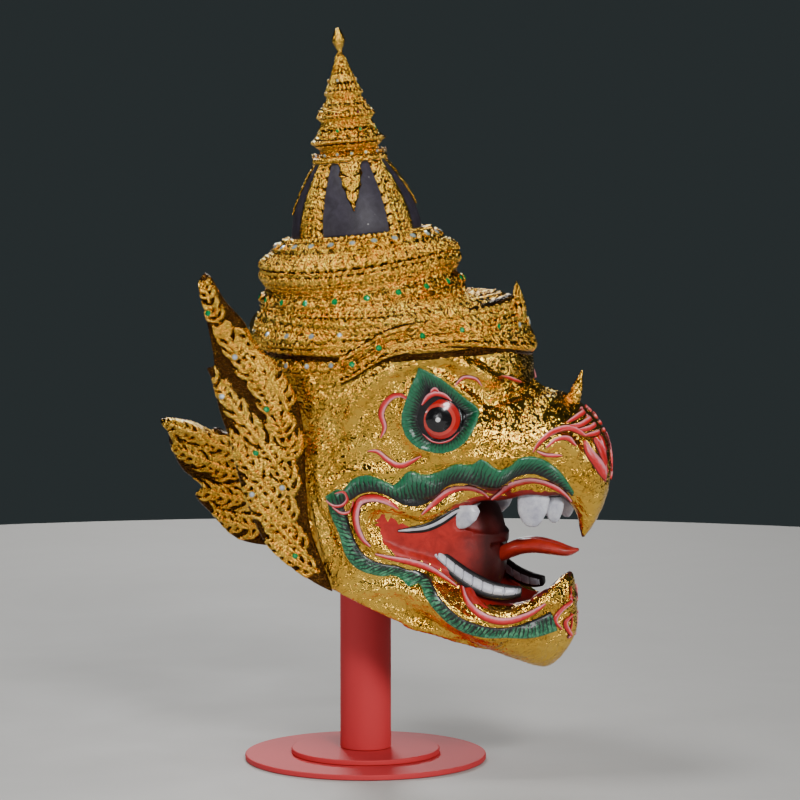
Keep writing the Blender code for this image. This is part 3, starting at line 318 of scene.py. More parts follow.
# Pink and red strokes: name, line, width
STROKES = (
    ("lip_pink_corner", ((0.063, 0.2500), (0.052, 0.2570), (0.040, 0.2595), (0.0275, 0.2550),
                         (0.0250, 0.2386), (0.0300, 0.2234), (0.038, 0.2151)), 0.0082),
    ("lip_pink_cheek", ((0.042, 0.208), (0.056, 0.204), (0.072, 0.200), (0.086, 0.194), (0.098, 0.185),
                        (0.108, 0.176)), 0.0062),
    ("lip_pink_chin", ((0.112, 0.178), (0.120, 0.166), (0.132, 0.155), (0.146, 0.148), (0.160, 0.147),
                       (0.174, 0.152), (0.185, 0.160)), 0.0072),
    ("lip_pink_upper", ((0.082, 0.244), (0.092, 0.254), (0.103, 0.264), (0.115, 0.268), (0.127, 0.266),
                        (0.135, 0.258)), 0.0068),
    ("lip_pink_beak", ((0.137, 0.256), (0.147, 0.263), (0.157, 0.270), (0.168, 0.274), (0.180, 0.275),
                       (0.192, 0.270), (0.201, 0.262), (0.206, 0.254)), 0.0068),
    ("curl_cheek_top", ((0.076, 0.350), (0.069, 0.354), (0.060, 0.353), (0.052, 0.345), (0.049, 0.335),
                        (0.052, 0.325), (0.048, 0.315)), 0.0060),
    ("curl_cheek_low", ((0.036, 0.302), (0.045, 0.302), (0.054, 0.294), (0.066, 0.289), (0.083, 0.298)),
     0.0055),
    ("curl_brow", ((0.113, 0.362), (0.119, 0.370), (0.129, 0.369), (0.133, 0.362)), 0.0034),
    ("curl_brow_front", ((0.146, 0.369), (0.150, 0.367), (0.157, 0.361)), 0.0026),
    ("curl_nostril", ((0.180, 0.302), (0.187, 0.312), (0.196, 0.320), (0.208, 0.322), (0.220, 0.314)),
     0.0055),
    ("curl_nostril_inner", ((0.192, 0.306), (0.199, 0.313), (0.208, 0.314), (0.215, 0.307)), 0.0040),
    ("curl_nostril_low", ((0.184, 0.303), (0.193, 0.299), (0.203, 0.298)), 0.0042),
    ("curl_chin_top", ((0.209, 0.174), (0.206, 0.162), (0.197, 0.154), (0.191, 0.144), (0.195, 0.134)),
     0.0040),
    ("curl_chin_middle", ((0.203, 0.147), (0.198, 0.140), (0.200, 0.131), (0.203, 0.123)), 0.0036),
    ("curl_chin_front", ((0.206, 0.148), (0.208, 0.137), (0.205, 0.126)), 0.0032),
    ("beak_leaf_brow", ((0.2044, 0.327), (0.2100, 0.331), (0.2145, 0.336), (0.2095, 0.338)), 0.0050),
    ("beak_leaf_top", ((0.2066, 0.324), (0.2140, 0.324), (0.2205, 0.330), (0.2190, 0.335)), 0.0052),
    ("beak_leaf_second", ((0.2135, 0.320), (0.2215, 0.321), (0.2262, 0.327)), 0.0050),
    ("beak_leaf_third", ((0.2190, 0.315), (0.2265, 0.316), (0.2312, 0.320)), 0.0050),
    ("beak_leaf_long", ((0.2195, 0.310), (0.2235, 0.300), (0.2300, 0.288), (0.2352, 0.271)), 0.0074),
    ("beak_leaf_front", ((0.2255, 0.312), (0.2308, 0.303), (0.2345, 0.292), (0.2358, 0.279)), 0.0056),
    ("beak_leaf_edge", ((0.2300, 0.315), (0.2338, 0.307), (0.2358, 0.298)), 0.0040),
    ("curl_corner_top", ((-0.0042, 0.2556), (0.0035, 0.2513), (0.0108, 0.2515), (0.0172, 0.2580),
                         (0.0143, 0.2643), (0.0060, 0.2614)), 0.0030),
    ("curl_corner_low", ((0.0035, 0.2504), (0.0108, 0.2450), (0.0191, 0.2471), (0.0220, 0.2564)), 0.0030),
)
TATTOO_RAISE = 0.0022
# Thin gum under the upper lip, along the side view
UPPER_GUM = ((0.060, 0.2285), (0.072, 0.2290), (0.084, 0.2310), (0.095, 0.2365), (0.108, 0.2455),
             (0.118, 0.2480))
# Red marks round the iris: name, line, width
EYE_MARKS = (("eye_cap", ((0.0850, 0.3455), (0.0905, 0.3530), (0.0970, 0.3558), (0.1040, 0.3535),
                          (0.1090, 0.3485)), 0.0052),
             ("eye_cap_tip", ((0.0925, 0.3570), (0.0955, 0.3600), (0.0985, 0.3572)), 0.0040),
             ("eye_line_low", ((0.0845, 0.3190), (0.0920, 0.3125), (0.1010, 0.3105), (0.1105, 0.3135),
                               (0.1170, 0.3200)), 0.0022))
# Red inside of the mouth on the side view, along the lips' inner edge
MOUTH_OUTLINE = (
    (0.044, 0.247), (0.054, 0.238), (0.068, 0.2325), (0.082, 0.231), (0.093, 0.238), (0.105, 0.249),
    (0.116, 0.2545), (0.127, 0.250), (0.138, 0.246), (0.152, 0.249), (0.165, 0.258), (0.174, 0.264),
    (0.189, 0.261), (0.199, 0.251), (0.206, 0.237), (0.214, 0.217), (0.204, 0.200), (0.197, 0.190),
    (0.191, 0.179), (0.184, 0.169), (0.173, 0.163), (0.157, 0.158), (0.139, 0.159), (0.121, 0.166),
    (0.107, 0.178), (0.096, 0.1915), (0.081, 0.199), (0.061, 0.206), (0.050, 0.217), (0.043, 0.231),
)
EYE_CENTRE = (0.100, 0.332)
IRIS_RADIUS = 0.0195
IRIS_BULGE = 0.0062
# Rings of the eyeball from the middle out: where each begins, as a share, and its colour
EYE_BLACK = (0.006, 0.005, 0.006)
EYE_RINGS = ((0.12, EYE_BLACK), (0.61, (0.66, 0.050, 0.036)), (0.76, (0.50, 0.008, 0.006)),
             (0.94, EYE_BLACK))


class GarudaSizes(bpy.types.PropertyGroup):
    """Sizes that a user would change."""

    leaf_wrinkle: bpy.props.FloatProperty(
        name="Leaf wrinkle", description="Depth of the crinkles in the gold leaf", default=0.0016,
        min=0.0, unit="LENGTH", subtype="DISTANCE")
    carving_share: bpy.props.FloatProperty(
        name="Carving depth", description="Share of the full depth of the carved rows", default=1.5,
        min=0.0, max=1.5, subtype="FACTOR")
    paint_raise: bpy.props.FloatProperty(
        name="Paint raise", description="How far the painted bands stand proud", default=0.0008,
        min=0.0, unit="LENGTH", subtype="DISTANCE")
    stand_segments: bpy.props.IntProperty(
        name="Stand segments", description="Flats round the stand", default=112, min=32)


class GarudaColours(bpy.types.PropertyGroup):
    """Colours that a user would change."""

    gold: bpy.props.FloatVectorProperty(
        name="Gold", description="Bright gold leaf", subtype="COLOR", size=3, default=(1.0, 0.62, 0.095))
    # Also painted shade: the carved gold lays this colour into low relief and pits; on the leaf it darkens
    # random mottled patches.
    lacquer: bpy.props.FloatVectorProperty(
        name="Lacquer", description="Dark lacquer in hollows and cracks of the gilding", subtype="COLOR",
        size=3, default=(0.060, 0.022, 0.005))
    green: bpy.props.FloatVectorProperty(
        name="Green", description="Green of the face bands", subtype="COLOR", size=3,
        default=(0.001, 0.088, 0.026))
    pink: bpy.props.FloatVectorProperty(
        name="Pink", description="Pink of the lip strokes", subtype="COLOR", size=3,
        default=(0.84, 0.052, 0.066))
    red: bpy.props.FloatVectorProperty(
        name="Mouth red", description="Red inside the mouth", subtype="COLOR", size=3,
        default=(0.58, 0.016, 0.010))
    stand_red: bpy.props.FloatVectorProperty(
        name="Stand red", description="Red paint of the stand", subtype="COLOR", size=3,
        default=(0.085, 0.0004, 0.0012))


def sizes():
    return bpy.context.scene.garuda_sizes


def colours():
    return bpy.context.scene.garuda_colours


# Shapes as numpy arrays

def round_angles(count):
    return np.linspace(0, 2 * math.pi, count, endpoint=False)[None, :]


def unit(vectors):
    return vectors / np.linalg.norm(vectors, axis=-1, keepdims=True)


def through(keys, share):
    """Values at shares, between pairs of a share and a value."""
    places, values = zip(*keys)
    return np.interp(share, places, values)


def relief_marks(level):
    """Marks of a grid: no map, and the height of the carving."""
    marks = np.zeros((*level.shape, 3))
    marks[..., 2] = level
    return marks


def place(forward, height, across=0.0):
    """World points of places on the side view: x is across, y is minus forward, z is height."""
    forward, height, across = np.broadcast_arrays(forward, height, across)
    return np.stack([across, -forward, height], axis=-1).astype(float)


def spline(rows, share, closed=False):
    """Catmull-Rom curve: each value is a cubic of its two neighbours and the slopes there."""
    rows = np.asarray(rows, float)
    count = len(rows)
    spans = count if closed else count - 1
    at = np.clip(np.asarray(share, float), 0.0, 1.0) * spans
    start = np.minimum(at.astype(int), spans - 1)
    local = (at - start)[..., None]

    def row(offset):
        index = start + offset
        return rows[index % count] if closed else rows[np.clip(index, 0, count - 1)]

    slope_in = (row(1) - row(-1)) / 2
    slope_out = (row(2) - row(0)) / 2
    square = local ** 2
    cube = local ** 3
    return (row(0) * (2 * cube - 3 * square + 1) + slope_in * (cube - 2 * square + local)
            + row(1) * (3 * square - 2 * cube) + slope_out * (cube - square))


def even_spline(rows, count):
    """The same curve with its points an even length apart."""
    dense = spline(rows, np.linspace(0, 1, 40 * len(rows)))
    steps = np.linalg.norm(np.diff(dense[:, :2], axis=0), axis=1)
    length = np.concatenate([[0.0], np.cumsum(steps)])
    even = np.linspace(0, length[-1], count)
    return np.stack([np.interp(even, length, column) for column in dense.T], axis=-1)


def grid_faces(rows, columns, wrap_columns=False, flip=False):
    """Four corners of each cell of a grid of points."""
    index = np.arange(rows * columns).reshape(rows, columns)
    if wrap_columns:
        index = np.concatenate([index, index[:, :1]], axis=1)
    faces = np.stack([index[:-1, :-1], index[:-1, 1:], index[1:, 1:], index[1:, :-1]], axis=-1)
    faces = faces.reshape(-1, 4)
    return faces[:, ::-1] if flip else faces


def joined(shapes):
    """One shape from several: points, faces and, for each point, two map values and a height."""
    points = []
    faces = []
    marks = []
    offset = 0
    for shape_points, shape_faces, shape_marks in shapes:
        points.append(shape_points)
        faces.append(shape_faces + offset)
        marks.append(shape_marks)
        offset += len(shape_points)
    return np.concatenate(points), np.concatenate(faces), np.concatenate(marks)


def grid_shape(points, marks=None, wrap_columns=False, flip=False):
    """Surface over a grid of points, each row joined to the next."""
    rows, columns = points.shape[:2]
    flat = points.reshape(-1, 3)
    if marks is None:
        marks = np.zeros((rows, columns, 3))
    return flat, grid_faces(rows, columns, wrap_columns, flip), marks.reshape(-1, 3)


def slab(top, bottom, marks=None):
    """Closed solid between an upper and a lower grid: both grids and a wall round the rim."""
    rows, columns = top.shape[:2]
    upper, faces, upper_marks = grid_shape(top, marks)
    lower, back, lower_marks = grid_shape(bottom, marks, flip=True)
    index = np.arange(rows * columns).reshape(rows, columns)
    rim = np.concatenate([index[0, :-1], index[:-1, -1], index[-1, :0:-1], index[:0:-1, 0]])
    after = np.roll(rim, -1)
    count = rows * columns
    wall = np.stack([after, rim, rim + count, after + count], axis=-1)
    return (np.concatenate([upper, lower]), np.concatenate([faces, back + count, wall]),
            np.concatenate([upper_marks, lower_marks]))


def closed_tube(rings, marks=None):
    """Skin over rings of points, its two ends drawn together to one point each."""
    first = np.repeat(rings[:1].mean(axis=1, keepdims=True), rings.shape[1], axis=1)
    last = np.repeat(rings[-1:].mean(axis=1, keepdims=True), rings.shape[1], axis=1)
    points = np.concatenate([first, rings, last])
    if marks is not None:
        marks = np.concatenate([marks[:1], marks, marks[-1:]])
    return grid_shape(points, marks, wrap_columns=True)


def grid_normals(points, wrap_columns=False):
    """Unit normals of a grid: the cross product of its steps along rows and columns."""
    down = np.gradient(points, axis=0)
    if wrap_columns:
        along = (np.roll(points, -1, axis=1) - np.roll(points, 1, axis=1)) / 2
    else:
        along = np.gradient(points, axis=1)
    normals = np.cross(down, along)
    length = np.linalg.norm(normals, axis=-1, keepdims=True)
    return normals / np.maximum(length, 1e-12)


def facing(normals, towards):
    """Normals turned as a whole so that most of them look one way."""
    return normals if (normals * towards).sum(axis=-1).mean() > 0 else -normals


def round_power(value, fullness):
    return np.sign(value) * np.abs(value) ** (2.0 / fullness)


def rib_rings(ribs, rows, sides, inset=0.0):
    """Rings through two places of the middle plane each.

    A point is the ring's middle, plus its half length times the powered cosine of the angle
    along the line of the two places, plus its half width times the powered sine across it.
    """
    values = spline(ribs, np.linspace(0, 1, rows))[:, None, :]
    angle = round_angles(sides)
    first = place(values[..., 0], values[..., 1])
    second = place(values[..., 2], values[..., 3])
    half = (first - second) / 2
    reach = np.linalg.norm(half, axis=-1, keepdims=True)
    fullness = np.where(np.cos(angle) >= 0, values[..., 5], values[..., 6])
    along = round_power(np.cos(angle), fullness)[..., None]
    across = round_power(np.sin(angle), fullness) * (values[..., 4] - inset)
    return (first + second) / 2 + half / reach * (reach - inset) * along + place(0.0, 0.0, across)


def build_mesh(name, shape, material=None, weld=True):
    """New object from a shape, with its map, its height attribute and outward faces."""
    points, faces, marks = shape
    mesh = bpy.data.meshes.new(name)
    mesh.vertices.add(len(points))
    mesh.vertices.foreach_set("co", points.astype(np.float32).ravel())
    mesh.loops.add(faces.size)
    mesh.loops.foreach_set("vertex_index", faces.astype(np.int32).ravel())
    mesh.polygons.add(len(faces))
    mesh.polygons.foreach_set("loop_start", np.arange(0, faces.size, 4, dtype=np.int32))
    mesh.update(calc_edges=True)
    layer = mesh.uv_layers.new(name="band_map")
    layer.data.foreach_set("uv", marks[faces.ravel(), :2].astype(np.float32).ravel())
    relief = mesh.attributes.new("relief", "FLOAT", "POINT")
    relief.data.foreach_set("value", marks[:, 2].astype(np.float32))
    item = bpy.data.objects.new(name, mesh)
    bpy.context.scene.collection.objects.link(item)
    if weld:
        weld_mesh(mesh)
    mesh.shade_smooth()
    if material is not None:
        mesh.materials.append(material)
    return item


def weld_mesh(mesh):
    """Merge doubles, drop faces without area and point all faces outwards."""
    work = bmesh.new()
    work.from_mesh(mesh)
    bmesh.ops.remove_doubles(work, verts=work.verts, dist=1e-6)
    bmesh.ops.dissolve_degenerate(work, edges=work.edges, dist=1e-7)
    bmesh.ops.recalc_face_normals(work, faces=work.faces)
    work.to_mesh(mesh)
    work.free()


def keep_piece(item, slot, *nodes):
    """Piece of the object: it rides on the one body and may stand for CAD nodes."""
    if triangle_count(item.data) > LIGHTEN_FROM:
        lighten(item)
    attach(item, "root")
    if nodes:
        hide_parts(*nodes)
    return item


def triangle_count(mesh):
    return len(mesh.loops) - 2 * len(mesh.polygons)


def lighten(item):
    """Join the flattest triangles until only a share of them is left."""
    thin = item.modifiers.new("thin", "DECIMATE")
    thin.ratio = LIGHTEN_SHARE
    apply_all(item)


def mesh_points(mesh):
    points = np.empty(len(mesh.vertices) * 3, dtype=np.float32)
    mesh.vertices.foreach_get("co", points)
    return points.reshape(-1, 3).astype(float)


def laid_on(target, start, along_x=0.0):
    """Points of a grid moved onto a surface: along X towards the middle, or along their normals.

    A point whose line misses the surface goes to the place on it nearest to the middle plane.
    """
    rows, columns = start.shape[:2]
    points = shrunk(target, start, "PROJECT", along_x)
    if along_x:
        missed = np.abs(points[:, 0]) > 0.9 * FAR_OUTSIDE
        points[missed, 0] = along_x * NEAR_MIDDLE
        points = shrunk(target, points.reshape(start.shape), "NEAREST_SURFACEPOINT", along_x)
    return points.reshape(rows, columns, 3)


def shrunk(target, start, method, along_x):
    """Points of a grid after a Shrinkwrap modifier has laid them on a surface."""
    guide = build_mesh("guide", grid_shape(start), weld=False)
    lay = guide.modifiers.new("lay", "SHRINKWRAP")
    lay.target = target
    lay.wrap_method = method
    if method == "PROJECT":
        lay.use_project_x = along_x != 0.0
        lay.use_negative_direction = along_x >= 0.0
        lay.use_positive_direction = along_x <= 0.0
    graph = bpy.context.evaluated_depsgraph_get()
    points = mesh_points(guide.evaluated_get(graph).data)
    bpy.data.objects.remove(guide, do_unlink=True)
    return points


def eased(points, rounds):
    """Grid with each inner row and column averaged with its neighbours, rim kept."""
    for _ in range(rounds):
        points = points.copy()
        points[1:-1] = (points[:-2] + 2 * points[1:-1] + points[2:]) / 4
        points[:, 1:-1] = (points[:, :-2] + 2 * points[:, 1:-1] + points[:, 2:]) / 4
    return points


# Carved relief as height fields

def carved_row(kind, turn, share, count):
    """Height from 0 to 1 of one carved row.

    turn is the share of the way round, share the way down the row, u and v the same inside
    one motif from -1 to 1. Beads are half balls, rope is slanted half rounds, a petal or leaf
    is a rounded arch under a pointed outline with a vein, a scroll is a turning wave in a disc.
    """
    cell = (turn * count) % 1.0
    u = 2 * cell - 1
    v = 2 * share - 1
    if kind == "beads":
        return np.sqrt(np.clip(1 - u ** 2 - v ** 2, 0, 1))
    if kind == "rope":
        slant = 2 * ((turn * count + share * 0.8) % 1.0) - 1
        return np.sqrt(np.clip(1 - slant ** 2, 0, 1)) * np.sqrt(np.clip(1 - v ** 2, 0, 1))
    if kind in ("petal", "leaf"):
        down = share if kind == "petal" else 1 - share
        front = leaf_height(u, down)
        behind = leaf_height(2 * ((turn * count + 0.5) % 1.0) - 1, down * 1.15)
        return np.maximum(front, 0.62 * behind)
    if kind == "scroll":
        radius = np.hypot(u, v * 0.9)
        spiral = 0.5 + 0.5 * np.cos(2 * np.arctan2(v, u) * np.where(u > 0, 1, -1) + 7.0 * radius)
        disc = np.sqrt(np.clip(1 - radius ** 2, 0, 1))
        corner = np.clip(radius - 1.0, 0, 1) * 2.0
        return np.clip(disc * (0.35 + 0.65 * spiral) + corner, 0, 1)
    return np.zeros(np.broadcast(turn, share).shape)


def leaf_height(u, down):
    """Leaf between its root at down 0 and its point at down 1: rounded, veined and pointed."""
    down = np.clip(down, 0, 1)
    width = np.clip(1.25 * np.sin(math.pi * (0.18 + 0.82 * down)) ** 0.7, 0.02, 1)
    inside = np.clip(1 - (u / width) ** 2, 0, 1)
    vein = 0.30 * np.exp(-(u / 0.12) ** 2)
    ribs = 0.16 * np.cos(9.0 * (down * 2.2 - np.abs(u) * 0.9))
    return np.clip(np.sqrt(inside) * (0.78 + ribs - vein + 0.25 * down), 0, 1)


def grain(first, second, size):
    """Uneven surface from -1 to 1: products of slow sine waves that never line up."""
    a = first / size
    b = second / size
    wave = np.sin(a * 2.1 + 1.3 * np.sin(b * 1.7)) * np.sin(b * 2.3 + 1.1 * np.sin(a * 1.9 + 0.5))
    return 0.6 * wave + 0.4 * np.sin(a * 4.7 + 2.0 * wave) * np.sin(b * 5.3 - 1.5 * wave)


def carved_bands(table, turn, along):
    """Heights in metres, and from 0 to 1, of rows that follow one another along a profile."""
    raised = np.zeros(np.broadcast(turn, along).shape)
    level = np.zeros_like(raised)
    start = along.min()
    for end, kind, count, height in table:
        inside = (along >= start) & (along <= end)
        share = np.clip((along - start) / max(end - start, 1e-9), 0, 1)
        row = carved_row(kind, turn, share, count) * inside
        raised = np.maximum(raised, row * height)
        level = np.maximum(level, row)
        start = end
    return raised, level


def crown_points(points):
    """Points of the crown's own upright space, turned onto the leaning axis of the mask."""
    lean = CROWN_LEAN
    y = points[..., 1] * math.cos(lean) + points[..., 2] * math.sin(lean)
    z = -points[..., 1] * math.sin(lean) + points[..., 2] * math.cos(lean)
    return np.stack([points[..., 0], y - CROWN_PIVOT[0], z + CROWN_PIVOT[1]], axis=-1)


def turned_grid(radius, height, angle):
    """Turned surface: x and y are the radius times cosine and sine of the angle."""
    return np.stack(np.broadcast_arrays(radius * np.cos(angle), radius * np.sin(angle), height), axis=-1)


def tier_surface(along, angle, proud):
    """Tier at a length along the profile and an angle, standing proud of the profile."""
    dense = even_spline(TIER_PROFILE, 400)
    share = along / TIER_LENGTH * (len(dense) - 1)
    index = np.arange(len(dense))
    radius = np.interp(share, index, dense[:, 0])
    height = np.interp(share, index, dense[:, 1])
    slope = np.gradient(dense, axis=0)
    slope = unit(slope)
    out_radius = np.interp(share, index, -slope[:, 1])
    out_height = np.interp(share, index, slope[:, 0])
    radius = radius + out_radius * proud
    height = height + out_height * proud
    points = turned_grid(radius, height, angle)
    keep = np.clip((CROWN_SEAT - points[..., 2]) / 0.02, 0, 1)
    widest = max(row[0] for row in TIER_PROFILE)
    points[..., 2] -= TIER_SIDE_DIP * (points[..., 0] / widest) ** 2 * keep
    return crown_points(points)


def dome_surface(angle, height, proud):
    """Dome: its radius falls from base to top by a power of the share of the height."""
    share = np.clip(height / DOME_HEIGHT, 0, 1)
    radius = DOME_TOP_RADIUS + (DOME_BASE_RADIUS - DOME_TOP_RADIUS) * (1 - share ** DOME_FULLNESS)
    points = turned_grid(radius + proud, CROWN_SEAT + FIT_GAP + height, angle)
    return crown_points(points)


# Shader nodes

def set_sockets(tree, node, values):
    """Give each named socket of a node a value, or a link from another socket."""
    for key, value in values.items():
        if isinstance(value, bpy.types.NodeSocket):
            tree.links.new(value, node.inputs[key])
        else:
            node.inputs[key].default_value = value


def add_node(tree, kind, inputs=None, **settings):
    """Add a node and set its properties and sockets."""
    node = tree.nodes.new(kind)
    for key, value in settings.items():
        setattr(node, key, value)
    set_sockets(tree, node, inputs or {})
    return node


def maths(tree, operation, first, second=0.0, third=0.0):
    node = add_node(tree, "ShaderNodeMath", {0: first, 1: second, 2: third}, operation=operation)
    return node.outputs[0]


def blend(tree, share, first, second):
    """Colour between two by a share. Each is a socket, or its red, green and blue."""
    first, second = (tone if isinstance(tone, bpy.types.NodeSocket) else (*tone, 1.0)
                     for tone in (first, second))
    node = add_node(tree, "ShaderNodeMix", {0: share, 6: first, 7: second}, data_type="RGBA")
    return node.outputs[2]


def tinted(colour, red, green, blue):
    return colour[0] * red, colour[1] * green, colour[2] * blue


def spread(tree, value, low, high, start=0.0, end=1.0):
    """Value spread from one range to another, held at the ends."""
    node = add_node(tree, "ShaderNodeMapRange", {0: value, 1: low, 2: high, 3: start, 4: end})
    return node.outputs[0]


def noise(tree, where, scale, detail, roughness=0.5, distortion=0.0):
    inputs = {"Vector": where, "Scale": scale, "Detail": detail, "Roughness": roughness,
              "Distortion": distortion}
    return add_node(tree, "ShaderNodeTexNoise", inputs).outputs[0]


def cells(tree, where, scale):
    inputs = {"Vector": where, "Scale": scale}
    return add_node(tree, "ShaderNodeTexVoronoi", inputs).outputs["Distance"]


def object_place(tree):
    return add_node(tree, "ShaderNodeTexCoord").outputs["Object"]


def band_place(tree):
    """Place on a band: the length along it and the share across it."""
    flat = add_node(tree, "ShaderNodeUVMap", uv_map="band_map").outputs[0]
    parts = add_node(tree, "ShaderNodeSeparateXYZ", {0: flat}).outputs
    return parts[0], parts[1]


def bump(tree, shader, height, distance, strength=1.0):
    inputs = {"Height": height, "Distance": distance, "Strength": strength}
    tree.links.new(add_node(tree, "ShaderNodeBump", inputs).outputs[0], shader.inputs["Normal"])


def shared_group(name, inputs, outputs):
    """Shader group made on the first call and found by its name later; the function fills it."""
    def wrap(fill):
        def give():
            if name not in bpy.data.node_groups:
                group = bpy.data.node_groups.new(name, "ShaderNodeTree")
                kind = {"socket_type": "NodeSocketFloat"}
                for socket, default in inputs.items():
                    group.interface.new_socket(socket, in_out="INPUT", **kind).default_value = default
                for socket in outputs:
                    group.interface.new_socket(socket, in_out="OUTPUT", **kind)
                fill(group, group.nodes.new("NodeGroupInput"), group.nodes.new("NodeGroupOutput"))
            return bpy.data.node_groups[name]
        return give
    return wrap


def use_group(tree, group, inputs):
    return add_node(tree, "ShaderNodeGroup", inputs, node_tree=group).outputs


def shared(name=None):
    """Material made on the first call and found by its name later; the function fills its tree.

    Without a name here, the first word of the call is the material's name.
    """
    def wrap(fill):
        def give(*words):
            own = name or words[0]
            if own not in bpy.data.materials:
                material = bpy.data.materials.new(own)
                material.use_nodes = True
                tree = material.node_tree
                fill(tree, tree.nodes["Principled BSDF"], *words[0 if name else 1:])
            return bpy.data.materials[own]
        return give
    return wrap


@shared_group("leaf_crinkle", {"Fineness": 1.0}, ("Height", "Tone", "Dull", "Dark"))
def leaf_crinkle_group(group, start, end):
    """Crinkles, tone and sheen of gold leaf laid over lacquer, from noise on Object coordinates."""
    where = object_place(group)
    warp = add_node(group, "ShaderNodeTexNoise", {"Vector": where, "Scale": 70.0, "Detail": 2.0})
    bend = add_node(group, "ShaderNodeVectorMath", {0: warp.outputs["Color"], 1: (0.007, 0.007, 0.007)},
                    operation="MULTIPLY").outputs[0]
    warped = add_node(group, "ShaderNodeVectorMath", {0: where, 1: bend}).outputs[0]
    facets = cells(group, warped, maths(group, "MULTIPLY", start.outputs[0], 420.0))
    folds = noise(group, warped, 140.0, 2.5, 0.6, 1.0)
    broad = noise(group, where, 44.0, 2.0, 0.6, 0.8)
    patch = noise(group, where, 24.0, 4.0, 0.7)
    mottle = noise(group, warped, 430.0, 3.0, 0.7)
    speck = noise(group, where, 900.0, 2.0)
    ridge = maths(group, "ABSOLUTE", maths(group, "SUBTRACT", folds, 0.5))
    small = maths(group, "MULTIPLY_ADD", facets, 0.12, maths(group, "MULTIPLY", ridge, 1.5))
    dark = maths(group, "MULTIPLY", spread(group, mottle, 0.50, 0.58), spread(group, patch, 0.46, 0.62))
    set_sockets(group, end, {"Height": maths(group, "MULTIPLY_ADD", broad, 2.4, small), "Dark": dark,
                             "Tone": spread(group, patch, 0.35, 0.68),
                             "Dull": spread(group, speck, 0.35, 0.75)})


@shared_group("brush_marks", {"Scale": 180.0}, ("Light", "Height"))
def brush_group(group, start, end):
    """Uneven hand-laid paint: a share of light and a height, from noise of two sizes."""
    where = object_place(group)
    wide = noise(group, where, start.outputs[0], 5.0, 0.65, 0.4)
    fine = maths(group, "MULTIPLY", noise(group, where, 1100.0, 2.0), 0.3)
    set_sockets(group, end, {"Light": spread(group, wide, 0.3, 0.7),
                             "Height": maths(group, "ADD", wide, fine)})


@shared_group("hatch_strokes", {"Count": 250.0, "Slant": 0.6, "Start": 0.2, "Width": 0.5}, ("Stroke",))
def hatch_group(group, start, end):
    """Pointed strokes across a band: a triangle wave along it, slanted and narrowed across it."""
    along, across = band_place(group)
    given = start.outputs
    slanted = maths(group, "ADD", maths(group, "MULTIPLY", along, given["Count"]),
                    maths(group, "MULTIPLY", across, given["Slant"]))
    wander = noise(group, object_place(group), 160.0, 2.0)
    turned = maths(group, "FRACT", maths(group, "MULTIPLY_ADD", wander, 1.2, slanted))
    wave = maths(group, "ABSOLUTE", maths(group, "SUBTRACT", turned, 0.5))
    past = maths(group, "MAXIMUM", maths(group, "SUBTRACT", across, given["Start"]), 0.0)
    reach = maths(group, "MULTIPLY", past, given["Width"])
    stroke_share = spread(group, wave, reach, maths(group, "ADD", reach, 0.10), 1.0, 0.0)
    set_sockets(group, end, {"Stroke": stroke_share})


def brushed(tree, scale):
    return use_group(tree, brush_group(), {"Scale": scale})


@shared("gold_leaf")
def gold_leaf_material(tree, shader):
    """Bright leaf, crinkled, over a darker lacquer that shows where the leaf is thin."""
    leaf = use_group(tree, leaf_crinkle_group(), {"Fineness": 1.0})
    gold = colours().gold
    colour = blend(tree, leaf["Tone"], gold, tinted(gold, 0.88, 0.72, 0.40))
    worn = maths(tree, "MULTIPLY", leaf["Dark"], 0.80)
    set_sockets(tree, shader, {"Base Color": blend(tree, worn, colour, colours().lacquer), "Metallic": 1.0,
                               "Roughness": spread(tree, leaf["Dull"], 0.0, 1.0, 0.10, 0.22)})
    bump(tree, shader, leaf["Height"], sizes().leaf_wrinkle)


@shared("carved_gold")
def carved_gold_material(tree, shader):
    """Gilt carving: bright on the heights, the lacquer colour laid into the hollows and pits as painted shade,
    finely pitted.
    """
    height = add_node(tree, "ShaderNodeAttribute", attribute_name="relief").outputs["Fac"]
    leaf = use_group(tree, leaf_crinkle_group(), {"Fineness": 1.5})
    where = object_place(tree)
    wave = noise(tree, where, 300.0, 3.0, 0.75, 1.5)
    pits = spread(tree, cells(tree, where, 520.0), 0.10, 0.70, 1.0, 0.0)
    gold = colours().gold
    colour = blend(tree, leaf["Tone"], gold, tinted(gold, 0.92, 0.76, 0.42))
    # Painted shade: where the relief is low and between the pit cells the gold is darkened towards the lacquer
    # colour.
    hollow = spread(tree, maths(tree, "MULTIPLY_ADD", wave, 0.55, height), 0.30, 0.72, 1.0, 0.0)
    shade = maths(tree, "MAXIMUM", hollow, spread(tree, pits, 0.0, 0.25, 0.55, 0.0))
    set_sockets(tree, shader, {"Base Color": blend(tree, shade, colour, colours().lacquer), "Metallic": 1.0,
                               "Roughness": spread(tree, leaf["Dull"], 0.0, 1.0, 0.10, 0.24)})
    cut = maths(tree, "MULTIPLY_ADD", height, 1.4, maths(tree, "MULTIPLY_ADD", leaf["Height"], 0.3, pits))
    bump(tree, shader, maths(tree, "MULTIPLY_ADD", wave, 0.7, cut), 0.0007)


@shared()
def paint_material(tree, shader, light, dark, roughness=0.35, scale=180.0, coat=0.15):
    """Plain hand-laid paint between two near colours."""
    brush = brushed(tree, scale)
    set_sockets(tree, shader, {
        "Base Color": blend(tree, brush["Light"], dark, light), "Specular IOR Level": 0.3,
        "Roughness": spread(tree, brush["Light"], 0.0, 1.0, roughness + 0.08, roughness - 0.06),
        "Coat Weight": coat, "Coat Roughness": 0.2})
    bump(tree, shader, brush["Height"], 0.0006, 0.5)


